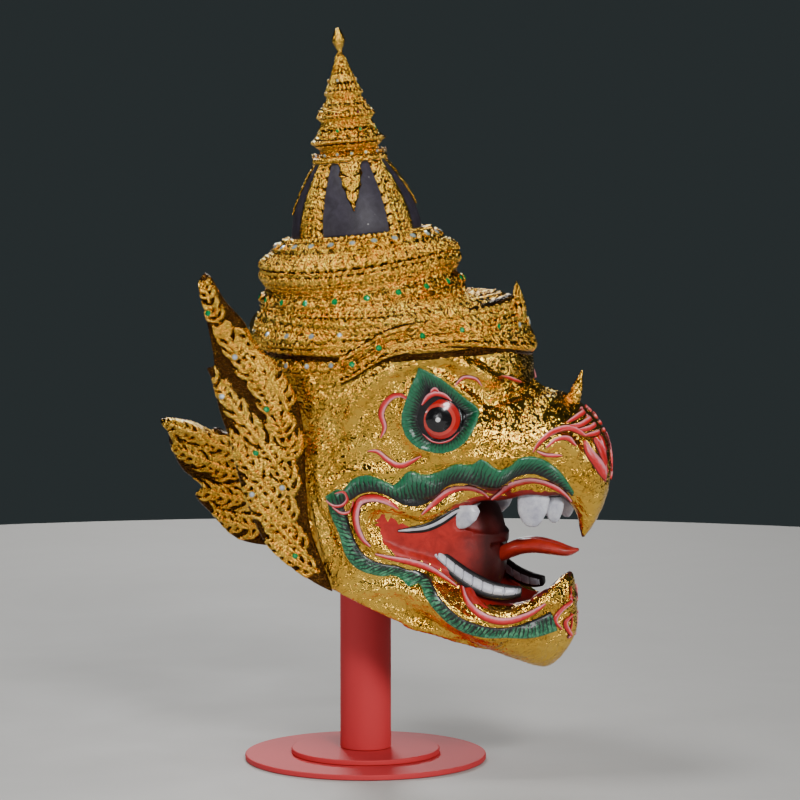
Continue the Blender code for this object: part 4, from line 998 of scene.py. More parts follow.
@shared()
def band_material(tree, shader, count, slant, start, width, pale):
    """Green band: lightened to a painted highlight along its outer rim, darker green under black strokes, light
    green painted highlights in patches between the strokes, black line at the inner edge.
    """
    brush = brushed(tree, 240.0)
    drawn = use_group(tree, hatch_group(),
                      {"Count": count, "Slant": slant, "Start": start, "Width": width})["Stroke"]
    across = band_place(tree)[1]
    green = colours().green
    uneven = maths(tree, "MULTIPLY_ADD", brush["Light"], 0.25, across)
    # Painted highlight: the green is lightened towards the band's outer edge and is darker green inwards.
    body = blend(tree, spread(tree, uneven, 0.15, 0.85), tinted(green, 4, 1.9, 2.6),
                 tinted(green, 0.5, 0.30, 0.42))
    body = blend(tree, drawn, body, (0.006, 0.008, 0.006))
    # Painted highlight: light green patches on the brighter brush marks between the strokes; pale sets their
    # strength.
    painted_glint = maths(tree, "MULTIPLY", spread(tree, brush["Light"], 0.35, 0.8),
                  maths(tree, "SUBTRACT", 1.0, drawn))
    body = blend(tree, maths(tree, "MULTIPLY", painted_glint, pale), body, (0.20, 0.72, 0.36))
    body = blend(tree, spread(tree, across, 0.82, 0.86), body, (0.006, 0.006, 0.007))
    set_sockets(tree, shader, {"Base Color": body, "Roughness": 0.3, "Coat Weight": 0.35,
                               "Coat Roughness": 0.15})
    bump(tree, shader, maths(tree, "MULTIPLY_ADD", drawn, -0.6, brush["Height"]), 0.0007, 0.6)


@shared("pink_stroke")
def stroke_material(tree, shader):
    """Pink stroke, lit and shaded: light pink along one edge as a painted highlight, dark red along the other
    as painted shade, dark at the rim.
    """
    brush = brushed(tree, 260.0)
    across = band_place(tree)[1]
    pink = colours().pink
    uneven = maths(tree, "MULTIPLY_ADD", brush["Light"], 0.14, across)
    # Painted highlight and painted shade: a light tint of the pink along one edge, a dark red tint along the
    # other.
    body = blend(tree, spread(tree, uneven, 0.34, 0.52), tinted(pink, 1.08, 6.0, 5.4), pink)
    body = blend(tree, spread(tree, uneven, 0.58, 0.74), body, tinted(pink, 0.72, 0.22, 0.18))
    rim = spread(tree, maths(tree, "ABSOLUTE", maths(tree, "SUBTRACT", across, 0.5)), 0.41, 0.45)
    set_sockets(tree, shader, {"Base Color": blend(tree, rim, body, (0.10, 0.006, 0.008)),
                               "Roughness": 0.34, "Coat Weight": 0.2})
    bump(tree, shader, brush["Height"], 0.0005, 0.5)


@shared("eye_paint")
def eye_material(tree, shader):
    """Eyeball by the distance from its middle: a white dot as a painted highlight, black pupil, red iris in a
    lighter and a darker ring, black edge.
    """
    brush = brushed(tree, 300.0)
    out = maths(tree, "MULTIPLY_ADD", brush["Light"], 0.02, band_place(tree)[1])
    # Painted highlight: a white dot in the middle of the pupil.
    colour = (0.90, 0.88, 0.86)
    for edge, tone in EYE_RINGS:
        colour = blend(tree, spread(tree, out, edge - 0.012, edge + 0.012), colour, tone)
    set_sockets(tree, shader, {"Base Color": colour, "Roughness": 0.22, "Coat Weight": 0.5})
    bump(tree, shader, brush["Height"], 0.0003, 0.4)


@shared()
def stone_material(tree, shader, colour, metallic):
    """Paste stone: glossy, with a little unevenness of tone."""
    body = blend(tree, brushed(tree, 500.0)["Light"], tinted(colour, 0.35, 0.35, 0.35), colour)
    set_sockets(tree, shader, {"Base Color": body, "Metallic": metallic, "Roughness": 0.05,
                               "Coat Weight": 1.0, "Coat Roughness": 0.02})


@shared("stand_paint")
def stand_material(tree, shader):
    """Matt red paint over turned wood: faint grain, fine grit and small chips."""
    where = object_place(tree)
    stretched = add_node(tree, "ShaderNodeMapping", {"Vector": where, "Scale": (1.0, 1.0, 0.06)}).outputs[0]
    wood = noise(tree, stretched, 260.0, 6.0, 0.7)
    grit = noise(tree, where, 700.0, 3.0)
    light = brushed(tree, 60.0)["Light"]
    red = colours().stand_red
    body = blend(tree, spread(tree, wood, 0.3, 0.7), tinted(red, 0.62, 0.5, 0.6), red)
    body = blend(tree, spread(tree, light, 0.4, 1.0, 0.0, 0.35), body, tinted(red, 1.12, 1.6, 1.5))
    body = blend(tree, spread(tree, grit, 0.72, 0.76), body, (0.30, 0.14, 0.09))
    set_sockets(tree, shader, {"Base Color": body, "Specular IOR Level": 0.12,
                               "Roughness": spread(tree, light, 0.0, 1.0, 0.70, 0.52)})
    bump(tree, shader, maths(tree, "MULTIPLY_ADD", wood, 0.8, grit), 0.0007, 0.6)


@shared("dome_black")
def dome_material(tree, shader):
    """Black lacquer, slightly violet, dusty, with a few pale specks."""
    brush = brushed(tree, 90.0)
    body = blend(tree, brush["Light"], (0.018, 0.014, 0.022), (0.050, 0.042, 0.060))
    dot = spread(tree, cells(tree, object_place(tree), 130.0), 0.05, 0.09, 0.8, 0.0)
    set_sockets(tree, shader, {"Base Color": blend(tree, dot, body, (0.6, 0.58, 0.55)), "Roughness": 0.5,
                               "Specular IOR Level": 0.4})
    bump(tree, shader, brush["Height"], 0.0006, 0.6)


@shared("mouth_red")
def mouth_material(tree, shader):
    """Red paint, darkened towards the middle plane as painted shade deep in the mouth."""
    red = colours().red
    brush = brushed(tree, 70.0)
    body = blend(tree, brush["Light"], tinted(red, 0.55, 0.5, 0.5), tinted(red, 1.15, 1.5, 1.5))
    across = add_node(tree, "ShaderNodeSeparateXYZ", {0: object_place(tree)}).outputs[0]
    # Painted shade: near the middle plane the red is darkened almost to black.
    throat_shade = spread(tree, maths(tree, "ABSOLUTE", across), 0.030, 0.064, 0.93, 0.0)
    set_sockets(tree, shader, {"Base Color": blend(tree, throat_shade, body, (0.020, 0.003, 0.003)),
                               "Roughness": 0.42})
    bump(tree, shader, brush["Height"], 0.0006, 0.5)


def tooth_material():
    return paint_material("tooth_white", (0.82, 0.83, 0.87), (0.46, 0.46, 0.56), 0.32, 110.0, 0.3)


def black_line_material():
    return paint_material("line_black", (0.020, 0.018, 0.020), (0.006, 0.006, 0.007), 0.35, 200.0)


def inside_material():
    return paint_material("inside_lacquer", (0.10, 0.028, 0.020), (0.035, 0.012, 0.010), 0.55, 60.0, 0.0)


# Head

def boolean(item, tool, operation):
    """Cut or join with a tool, and drop the tool."""
    modifier = item.modifiers.new("shape", "BOOLEAN")
    modifier.operation = operation
    modifier.solver = "MANIFOLD"
    modifier.object = tool
    apply_all(item)
    bpy.data.objects.remove(tool, do_unlink=True)


def apply_all(item):
    """Write what the modifiers make into the mesh itself."""
    graph = bpy.context.evaluated_depsgraph_get()
    mesh = bpy.data.meshes.new_from_object(item.evaluated_get(graph))
    old = item.data
    item.modifiers.clear()
    item.data = mesh
    bpy.data.meshes.remove(old)


def roll_shape(target, line, width, raised, side):
    """Roll of oval section along a line laid on one side of the head, thin at both ends."""
    count = max(24, int(len(line) * 10))
    path = even_spline(line, count)
    middle = eased(laid_on(target, place(path[:, 0], path[:, 1], side * FAR_OUTSIDE)[:, None, :]
                           .repeat(2, axis=1), side), 6)[:, 0]
    along = np.gradient(middle, axis=0)
    along = unit(along)
    towards = np.tile([side, 0.0, 0.0], (count, 1))
    outward = towards - (towards * along).sum(axis=1, keepdims=True) * along
    outward = unit(outward)
    across = np.cross(along, outward)
    share = np.linspace(0, 1, count)
    taper = np.clip(np.minimum(share, 1 - share) * count / 10, 0.25, 1)[:, None, None]
    angle = np.linspace(0, 2 * math.pi, 14, endpoint=False)[None, :, None]
    rings = middle[:, None] + taper * (across[:, None] * np.cos(angle) * width / 2
                                       + outward[:, None] * np.sin(angle) * raised)
    return closed_tube(rings)


def in_outline(outline, forward, height):
    """Whether places lie inside a closed outline: an odd count of edges lie above each."""
    outline = np.asarray(outline)
    after = np.roll(outline, -1, axis=0)
    inside = np.zeros(forward.shape, bool)
    for (f0, h0), (f1, h1) in zip(outline, after):
        spans = (f0 > forward) != (f1 > forward)
        edge = h0 + (h1 - h0) * (forward - f0) / ((f1 - f0) or 1e-12)
        inside ^= spans & (height < edge)
    return inside


def build_head():
    """Skull, beak and jaw with their rolls made one skin, smoothed, cut open and hollowed."""
    masses = [closed_tube(rib_rings(HEAD_RIBS, 110, 150)), closed_tube(rib_rings(BEAK_RIBS, 90, 90)),
              closed_tube(rib_rings(JAW_RIBS, 80, 80))]
    base = build_mesh("base", joined(masses))
    shapes = list(masses)
    for line, width, raised in ROLLS:
        for _, side in SIDES:
            shapes.append(roll_shape(base, line, width, raised, side))
    bpy.data.objects.remove(base, do_unlink=True)
    head = build_mesh("mask_head_skin", joined(shapes), gold_leaf_material())
    remesh = head.modifiers.new("one_skin", "REMESH")
    remesh.mode = "VOXEL"
    remesh.voxel_size = VOXEL
    remesh.use_smooth_shade = True
    smooth = head.modifiers.new("ease", "SMOOTH")
    smooth.factor = 0.5
    smooth.iterations = 7
    apply_all(head)
    wrinkle_skin(head.data)
    lighten(head)
    for name, ribs in (("palate", PALATE_RIBS), ("trough", TROUGH_RIBS)):
        boolean(head, build_mesh(name, closed_tube(rib_rings(ribs, 40, 48)), mouth_material()), "DIFFERENCE")
    back = build_mesh("mouth_back", closed_tube(rib_rings(MOUTH_BACK_RIBS, 30, 48)), mouth_material())
    boolean(head, back, "UNION")
    boolean(head, hollow_cutter(), "DIFFERENCE")
    paint_head(head)
    return head


def wrinkle_skin(mesh):
    """Move each point of the skin along its normal by an uneven wave of its place."""
    points = mesh_points(mesh)
    normals = np.empty(len(points) * 3, dtype=np.float32)
    mesh.vertex_normals.foreach_get("vector", normals)
    wave = grain(points[:, 1] + points[:, 0], points[:, 2], 0.0055)
    fine = grain(points[:, 2] - points[:, 0], points[:, 1], 0.0028)
    points += normals.reshape(-1, 3) * (0.00042 * wave + 0.00022 * fine)[:, None]
    points[:, 1] += FRONT_EASE * np.clip(-points[:, 1] - FRONT_EASE_FROM, 0, None)
    mesh.vertices.foreach_set("co", points.astype(np.float32).ravel())
    mesh.update()


def hollow_cutter():
    """Inside of the head: its own ribs set in by the wall, cut flat in front, up to a ceiling."""
    ribs = np.asarray(HEAD_RIBS[1:])
    rings = []
    for rib in ribs:
        limit = MOUTH_HOLLOW_FRONT if rib[3] < MOUTH_TOP_HEIGHT else BROW_HOLLOW_FRONT
        ring = rib_rings(np.stack([rib, rib]), 2, 64, WALL)[0]
        ring[:, 1] = np.maximum(ring[:, 1], -limit)
        rings.append(ring)
    ceiling = rib_rings(np.asarray([CEILING_RIB, CEILING_RIB]), 2, 64)[0]
    drop = rings[-1] + np.array([0.0, 0.0, -HOLLOW_DROP])
    return build_mesh("hollow", closed_tube(np.stack([ceiling, *rings, drop])), inside_material())


def paint_head(head):
    """Give the faces inside the mouth outline, and the hollow, their own paint."""
    mesh = head.data
    mesh.materials.clear()
    for material in (gold_leaf_material(), mouth_material(), inside_material()):
        mesh.materials.append(material)
    count = len(mesh.polygons)
    centres = np.empty(count * 3, dtype=np.float32)
    normals = np.empty(count * 3, dtype=np.float32)
    mesh.polygons.foreach_get("center", centres)
    mesh.polygons.foreach_get("normal", normals)
    centres = centres.reshape(-1, 3).astype(float)
    normals = normals.reshape(-1, 3).astype(float)
    forward = -centres[:, 1]
    height = centres[:, 2]
    red = in_outline(MOUTH_OUTLINE, forward, height)
    scale = np.array([0.100, 0.118])
    inner = (normals[:, 0] * np.sign(centres[:, 0]) < -0.15) & (forward > 0.096) & (forward < 0.207) \
        & (height > 0.138) & (height < 0.264) & (np.abs(centres[:, 0]) < 0.062)
    reach = np.hypot(centres[:, 0] / scale[0], (centres[:, 1] + 0.0215) / scale[1])
    inward = (normals[:, 0] * centres[:, 0] + normals[:, 1] * (centres[:, 1] + 0.0215)) < 0
    palate = (forward > 0.099) & (np.abs(centres[:, 0]) < 0.0605) & (normals[:, 2] < -0.35) & (height > 0.225) \
        & (height < 0.266) & (forward < 0.204)
    trough = (forward > 0.099) & (forward < 0.200) & (height > 0.14) & (height < 0.225) & inner_jaw(centres)
    inside = inward & (reach < 1.0) & (forward < 0.1225) & (height > 0.10) & ~red
    chosen = np.where(inside, 2, np.where(red | palate | trough | inner, 1, 0))
    mesh.polygons.foreach_set("material_index", chosen.astype(np.int32))
    mesh.polygons.foreach_set("use_smooth", np.ones(count, dtype=bool))
    mesh.update()


def inner_jaw(centres):
    """Whether points lie on the wall of the trough: within its oval section, grown a little."""
    ribs = np.asarray(TROUGH_RIBS)
    forward = -centres[:, 1]
    top = np.interp(forward, ribs[:, 0], ribs[:, 1])
    low = np.interp(forward, ribs[:, 0], ribs[:, 3])
    wide = np.interp(forward, ribs[:, 0], ribs[:, 4])
    up = (centres[:, 2] - (top + low) / 2) / ((top - low) / 2)
    return (centres[:, 0] / wide) ** 2 + up ** 2 < 1.2


class GARUDA_OT_head(bpy.types.Operator):
    """Gold leaf head with its rolls, open mouth and hollow"""

    bl_idname = "garuda.head"
    bl_label = "Head"

    def execute(self, context):
        keep_piece(build_head(), "gilt", "mask_head")
        return {"FINISHED"}


# Paint on the face

def head_object():
    return bpy.data.objects["mask_head_skin"]


def ribbon(name, first_edge, second_edge, side, rows, columns, raised, material, slot, crown=0.0):
    """Painted band between two edges of the side view, laid on the head and closed below.

    The grid runs from edge to edge in even steps. Each point is lifted along the surface's
    normal by the raise, plus a crown that is a half circle across the band.
    """
    share = np.linspace(0, 1, columns)[None, :, None]
    one = even_spline(first_edge, rows)[:, None]
    two = even_spline(second_edge, rows)[:, None]
    flat = one * (1 - share) + two * share
    start = place(flat[..., 0], flat[..., 1], side * FAR_OUTSIDE)
    points = eased(laid_on(head_object(), start, side), 3)
    normals = facing(grid_normals(points), np.array([side, 0.0, 0.0]))
    arch = np.sqrt(np.clip(1 - (2 * share - 1) ** 2, 0, 1))
    length = np.concatenate([[0], np.cumsum(np.linalg.norm(np.diff(points[:, columns // 2], axis=0), axis=1))])
    marks = np.zeros((rows, columns, 3))
    marks[..., 0] = length[:, None]
    marks[..., 1] = share[..., 0]
    marks[..., 2] = 1.0
    top = points + normals * (raised * (0.35 + 0.65 * arch ** 0.3) + crown * arch)
    return keep_piece(build_mesh(name, slab(top, points - normals * 0.0015, marks), material), slot)


def stroke(name, line, width, side, raised, material, slot, crown=0.0):
    """Painted stroke along a line: full in the middle and pointed at both ends."""
    line = np.asarray(line)
    rows = max(24, len(line) * 7)
    path = even_spline(line, rows)
    along = np.gradient(path, axis=0)
    along = unit(along)
    across = np.stack([-along[:, 1], along[:, 0]], axis=-1)
    share = np.linspace(0, 1, rows)
    half = (width / 2 * np.sin(math.pi * np.clip(share, 0.02, 0.98)) ** 0.45)[:, None]
    return ribbon(name, path + across * half, path - across * half, side, rows, 8, raised, material,
                  slot, crown)


class GARUDA_OT_face_bands(bpy.types.Operator):
    """Green bands round the mouth and the pink strokes of lips, nostrils, brow and chin"""

    bl_idname = "garuda.face_bands"
    bl_label = "Face bands and strokes"

    def execute(self, context):
        raised = sizes().paint_raise
        for label, side in SIDES:
            ribbon("upper_band_" + label, UPPER_BAND_OUTER, UPPER_BAND_INNER, side, 260, 22,
                   raised, band_material("band_upper", 260.0, 1.9, 0.26, 0.60, 0.10), "gilt", 0.0020)
            ribbon("lower_band_" + label, LOWER_BAND_OUTER, LOWER_BAND_INNER, side, 260, 18,
                   raised, band_material("band_lower", 230.0, -0.5, 0.10, 0.30, 0.45), "gilt", 0.0012)
            for name, line, width in STROKES:
                over = TATTOO_RAISE if name.startswith("curl_corner") else 0.0
                stroke(name + "_" + label, line, width, side, raised + over, stroke_material(),
                       "tongue_paint", 0.0010)
        return {"FINISHED"}


def eye_patch(name, inner, outer, side, rows, columns, lift, material, slot):
    """Ring or disc of the eye: each point lies between the eye's middle and its outline."""
    angle = np.linspace(0, 1, columns)
    outline = even_spline(EYE_LINE, columns)[None]
    share = np.linspace(inner, outer, rows)[:, None, None]
    centre = np.array(EYE_CENTRE)
    flat = centre + (outline - centre) * share
    points = laid_on(head_object(), place(flat[..., 0], flat[..., 1], side * FAR_OUTSIDE), side)
    points = eased(points, 2)
    normals = facing(grid_normals(points), np.array([side, 0.0, 0.0]))
    marks = np.zeros((rows, columns, 3))
    marks[..., 0] = angle[None, :] * 0.2
    marks[..., 1] = 1 - np.linspace(0, 1, rows)[:, None]
    marks[..., 2] = 1.0
    top = points + normals * lift
    return keep_piece(build_mesh(name, slab(top, points - normals * 0.0015, marks), material), slot)


def eyeball(name, side):
    """Bulging eye: a disc whose height falls with the square of the share of its radius."""
    centre = laid_on(head_object(), place(np.full((2, 2), EYE_CENTRE[0]), np.full((2, 2), EYE_CENTRE[1]),
                                          side * FAR_OUTSIDE), side)[0, 0]
    share = np.linspace(0, 1, 26)[:, None]
    angle = round_angles(72)
    forward = EYE_CENTRE[0] + share * IRIS_RADIUS * np.cos(angle)
    height = EYE_CENTRE[1] + share * IRIS_RADIUS * np.sin(angle)
    ground = laid_on(head_object(), place(forward, height, side * FAR_OUTSIDE), side)
    level = ground[..., 0] * 0.45 + centre[0] * 0.55
    rise = side * (IRIS_BULGE * (1 - share ** 2) + 0.0010)
    top = place(forward, height, level + rise)
    under = place(forward, height, level - side * 0.004)
    marks = np.zeros((26, 72, 3))
    marks[..., 1] = share
    marks[..., 2] = 1.0
    upper = grid_shape(top, marks, wrap_columns=True)
    lower = grid_shape(under, marks, wrap_columns=True)
    wall = grid_shape(np.stack([top[-1], under[-1]]), np.stack([marks[-1], marks[-1]]), wrap_columns=True)
    return keep_piece(build_mesh(name, joined([upper, lower, wall]), eye_material()), "gilt")


class GARUDA_OT_eyes(bpy.types.Operator):
    """Staring eyes: black field, green hatched rim, red iris, black pupil and a white painted highlight"""

    bl_idname = "garuda.eyes"
    bl_label = "Eyes"

    def execute(self, context):
        for label, side in SIDES:
            eye_patch("eye_field_" + label, 0.02, 0.80, side, 16, 140, 0.0008, black_line_material(), "gilt")
            eye_patch("eye_rim_" + label, 0.60, 0.985, side, 14, 220, 0.0022,
                      band_material("band_eye", 310.0, 0.2, 0.30, 0.55, 0.12), "gilt")
            eyeball("eye_ball_" + label, side)
            for name, line, width in EYE_MARKS:
                stroke(name + "_" + label, line, width, side, 0.0022, stroke_material(), "tongue_paint", 0.0008)
        return {"FINISHED"}


# Crown

class GARUDA_OT_crown_tiers(bpy.types.Operator):
    """Stepped tiers of the crown, carved all round"""

    bl_idname = "garuda.crown_tiers"
    bl_label = "Crown tiers"

    def execute(self, context):
        angle = round_angles(TIER_COLUMNS)
        for name, start, end in (("crown_tiers_upper", 0.0, TIER_SPLIT),
                                 ("crown_tiers_lower", TIER_SPLIT, TIER_LENGTH)):
            along = np.linspace(start, end, int((end - start) / 0.00085))[:, None]
            whole = np.concatenate([[[0.0]], along])
            raised, level = carved_bands(TIER_ROWS, angle / (2 * math.pi), whole)
            raised = raised[1:] * sizes().carving_share
            level = level[1:]
            rough = grain(angle * 0.1, along, 0.0011)
            proud = raised + 0.00022 * rough - 0.0003
            marks = np.zeros((*proud.shape, 3))
            marks[..., 2] = np.clip(level + 0.15 * rough, 0, 1)
            points = tier_surface(along, angle, proud)
            inner = tier_surface(along, angle, np.full(proud.shape, -0.006))
            upper = grid_shape(points, marks, wrap_columns=True)
            under = grid_shape(inner[::6], marks[::6], wrap_columns=True)
            last = np.stack([points[-1], inner[::6][-1]])
            first = np.stack([points[0], inner[0]])
            rim = np.stack([marks[0], marks[0]])
            parts = [upper, under, grid_shape(last, rim, wrap_columns=True),
                     grid_shape(first, rim, wrap_columns=True)]
            keep_piece(build_mesh(name, joined(parts), carved_gold_material()), "gilt")
        return {"FINISHED"}


class GARUDA_OT_skull_rows(bpy.types.Operator):
    """Carved rows on the skull between the crown's tiers and the tiara"""

    bl_idname = "garuda.skull_rows"
    bl_label = "Skull rows"

    def execute(self, context):
        turn = np.linspace(-SKULL_ROWS_END, SKULL_ROWS_END, 500)[:, None]
        rise = np.linspace(SKULL_ROWS_RISE[0], SKULL_ROWS_RISE[1], 84)[None, :]
        turn, rise = np.broadcast_arrays(turn, rise)
        away = np.stack([np.sin(turn) * np.cos(rise), -np.cos(turn) * np.cos(rise), np.sin(rise)], axis=-1)
        centre = np.array(SKULL_ROWS_CENTRE)
        points = eased(laid_on(head_object(), centre + away * FAR_OUTSIDE), 3)
        normals = facing(grid_normals(points), away)
        share = (rise - rise.min()) / (rise.max() - rise.min())
        raised, level = carved_bands(SKULL_ROWS, turn / (2 * math.pi), share)
        edge = np.clip(np.minimum(share, 1 - share) * 20, 0, 1)
        step = np.exp(-((share - 0.55) / 0.22) ** 2) * np.exp(-(turn / 0.75) ** 4)
        raised = raised * sizes().carving_share + SKULL_ROWS_STEP * step
        marks = relief_marks(level)
        top = points + normals * ((0.0008 + raised) * edge)[..., None]
        shape = slab(top, points - normals * 0.0015, marks)
        keep_piece(build_mesh("skull_rows_carved", shape, carved_gold_material()), "gilt")
        return {"FINISHED"}


class GARUDA_OT_dome(bpy.types.Operator):
    """Black dome with four gilt ribs and four hanging points"""

    bl_idname = "garuda.dome"
    bl_label = "Dome"

    def execute(self, context):
        angle = round_angles(160)
        height = np.linspace(0, DOME_HEIGHT, 50)[:, None]
        rings = dome_surface(angle, height, 0.0)
        keep_piece(build_mesh("crown_dome_shell", closed_tube(rings), dome_material()), "black_paint",
                   "crown_dome")
        for index in range(RIB_COUNT):
            self.gilt_rib("dome_rib_%d" % index, PANEL_TURN + math.pi / 4 + index * math.pi / 2)
            self.gilt_point("dome_point_%d" % index, PANEL_TURN + index * math.pi / 2)
        return {"FINISHED"}

    def gilt_rib(self, name, middle):
        """Rib: two leafy strips with a bead line between them, over the dome's surface."""
        v = np.linspace(-1, 1, 36)[None, :]
        height = np.linspace(0.0, DOME_HEIGHT, 110)[:, None]
        angle = middle + RIB_HALF_ANGLE * v
        strip = 2 * (np.abs(v) * 1.02 % 1.0) - 1
        leaves = leaf_height(strip, (height * 105 + 0.3 * np.abs(v)) % 1.0)
        beads = np.sqrt(np.clip(1 - (v / 0.16) ** 2 - (2 * ((height * 260) % 1.0) - 1) ** 2, 0, 1))
        level = np.maximum(leaves * (np.abs(v) > 0.17), beads)
        self.lay(name, angle, height, level)

    def gilt_point(self, name, middle):
        """Hanging point: a leaf whose width shrinks to nothing down the dome."""
        down = np.linspace(0.0, 1.0, 90)[:, None]
        v = np.linspace(-1, 1, 34)[None, :]
        height = DOME_HEIGHT - LANCET_LENGTH * down
        wide = LANCET_HALF_ANGLE * (1 - down ** 1.15) * (1 - 0.16 * np.abs(np.sin(down * 13)))
        level = leaf_height(v, (down * 3.2 + 0.25 * np.abs(v)) % 1.0)
        self.lay(name, middle + np.maximum(wide, 0.012) * v, height + 0 * v, level)

    def lay(self, name, angle, height, level):
        edge = np.clip(1 - np.abs(np.linspace(-1, 1, level.shape[1])) ** 6, 0, 1)[None, :]
        proud = 0.0004 + (RIB_RAISE - 0.0004) * (0.35 + 0.65 * level) * edge
        marks = relief_marks(np.clip(level, 0, 1))
        shape = slab(dome_surface(angle, height, proud), dome_surface(angle, height, proud * 0 - 0.0008), marks)
        keep_piece(build_mesh(name, shape, carved_gold_material()), "gilt")


class GARUDA_OT_spire(bpy.types.Operator):
    """Spire of turned, carved rings with a bud at its top"""

    bl_idname = "garuda.spire"
    bl_label = "Spire"

    def execute(self, context):
        dense = even_spline(SPIRE_PROFILE, 240)
        radius = dense[:, 0][:, None]
        height = dense[:, 1][:, None]
        angle = round_angles(220)
        turn = angle / (2 * math.pi)
        rows = [(-low, kind, count, raised) for low, kind, count, raised in SPIRE_ROWS]
        raised, level = carved_bands(rows, turn, -height)
        slim = np.clip(radius / 0.012, 0, 1)
        proud = raised * slim * sizes().carving_share - 0.0002 + 0.00012 * grain(angle * radius, height, 0.001)
        marks = np.zeros((*proud.shape, 3))
        marks[..., 2] = np.clip(level, 0.0, 1)
        # Plain rows get a high relief mark, so the painted shade of the carved gold leaves them bright.
        marks[..., 2] = np.where(raised.max(axis=1, keepdims=True) > 0, marks[..., 2], 0.8)
        limit = np.maximum(radius + proud, 0.0004)
        points = turned_grid(limit, height + CROWN_SEAT + DOME_HEIGHT + 2 * FIT_GAP, angle)
        shape = closed_tube(crown_points(points), marks)
        keep_piece(build_mesh("crown_spire_carved", shape, carved_gold_material()), "gilt", "crown_spire")
        return {"FINISHED"}


def tiara_edges(angle):
    share = np.abs(angle) / TIARA_END_ANGLE
    lower = spline(np.asarray(TIARA_LOWER)[:, None], share)[..., 0]
    upper = spline(np.asarray(TIARA_UPPER)[:, None], share)[..., 0]
    return lower, upper


def tiara_reach(angle):
    """Distance from the tiara's axis to the skull on a few levels, one row for each angle."""
    levels = np.linspace(min(TIARA_LOWER), SKULL_TOP_HEIGHT, TIARA_GAUGE_LEVELS)
    turn = angle[:, :1] + 0 * levels[None, :]
    away = np.stack([np.sin(turn), -np.cos(turn), 0 * turn], axis=-1)
    axis = place(TIARA_AXIS_FORWARD, levels[None, :] + 0 * turn)
    flat = laid_on(head_object(), axis + away * FAR_OUTSIDE) - axis
    return levels, eased(np.hypot(flat[..., 0], flat[..., 1])[..., None], 8)[..., 0]


def tiara_surface(angle, share, proud):
    """Tiara at an angle from the front and a share of its height, off the skull."""
    lower, upper = tiara_edges(angle)
    height = lower + (upper - lower) * share
    levels, gauge = tiara_reach(angle)
    reach = np.stack([np.interp(row, levels, found) for row, found in zip(height, gauge)])
    points = place(TIARA_AXIS_FORWARD, height)
    points[..., 0] += np.sin(angle) * (reach + proud)
    points[..., 1] -= np.cos(angle) * (reach + proud)
    return points


class GARUDA_OT_tiara(bpy.types.Operator):
    """Tiara band round the forehead, with a bud at the front"""

    bl_idname = "garuda.tiara"
    bl_label = "Tiara"

    def execute(self, context):
        angle = np.linspace(-TIARA_END_ANGLE, TIARA_END_ANGLE, 420)[:, None]
        share = np.linspace(0, 1, 64)[None, :]
        angle, share = np.broadcast_arrays(angle, share)
        rows = ((0.07, "plain", 1, 0.0), (0.20, "rope", 130, 1.0), (0.46, "leaf", 60, 1.0),
                (0.56, "beads", 120, 0.9), (0.80, "scroll", 40, 1.0), (0.94, "petal", 60, 1.0),
                (1.0, "plain", 1, 0.0))
        _, level = carved_bands(rows, angle / (2 * math.pi), share)
        rim = np.sqrt(np.clip(1 - (2 * share - 1) ** 12, 0, 1))
        hollow = 0.62 + 0.38 * np.abs(2 * share - 1) ** 2
        proud = (TIARA_STAND * hollow - 0.0020 + 0.0028 * level) * rim
        marks = relief_marks(level)
        front = tiara_surface(angle, share, proud)
        back = tiara_surface(angle, share, proud * 0 - 0.003)
        keep_piece(build_mesh("tiara_band", slab(front, back, marks), carved_gold_material()), "gilt")
        self.bud()
        return {"FINISHED"}

    def bud(self):
        """Bud: its radius swells and closes to a point, with eight leaves round it."""
        share = np.linspace(0, 1, 60)[:, None]
        angle = round_angles(64)
        keys = ((0.0, 0.5), (0.2, 1.0), (0.45, 1.1), (0.7, 0.7), (0.9, 0.3), (1.0, 0.08))
        radius = BUD_RADIUS * through(keys, share)
        level = leaf_height(2 * ((angle / (2 * math.pi) * 8) % 1.0) - 1, (share * 2) % 1.0)
        reach = radius * (0.86 + 0.12 * level)
        forward = BUD_PLACE[0] - 0.004 * share - reach * 0.7 * np.sin(angle)
        height = BUD_PLACE[1] - BUD_HEIGHT + BUD_HEIGHT * share + 0 * angle
        rings = place(forward, height, reach * np.cos(angle))
        marks = relief_marks(level)
        keep_piece(build_mesh("tiara_bud_carved", closed_tube(rings, marks), carved_gold_material()), "gilt",
                   "tiara_bud")


# Flame carving of ears and nape

def leaflets(spines):
    """Small curved leaves along both sides of each spine, and the spines themselves.

    Each is a row of places and its half width: a quadratic curve that leaves the spine at
    an angle and bends back along it.
    """
    flames = []
    for spine in spines:
        path = even_spline(spine, 60)
        flames.append((path[::2], 0.0036, 1.0))
        along = np.gradient(path, axis=0)
        along = unit(along)
        across = np.stack([-along[:, 1], along[:, 0]], axis=-1)
        length = np.linalg.norm(np.diff(path, axis=0), axis=1).sum()
        count = int(length / 0.0072)
        for number in range(count):
            at = int((number + 0.5) / count * 59)
            size = 0.017 * (1 - 0.45 * number / count) * (1 + 0.28 * math.sin(number * 2.4))
            for sign in (-1, 1):
                share = np.linspace(0, 1, 10)[:, None]
                out = across[at] * sign * size * (share * 1.25 - 0.62 * share ** 2)
                leaf = path[at] + out + along[at] * size * (0.15 * share + 0.75 * share ** 2)
                flames.append((leaf, 0.0025 + 0.0005 * math.sin(number * 1.9 + sign), 0.72))
    return flames


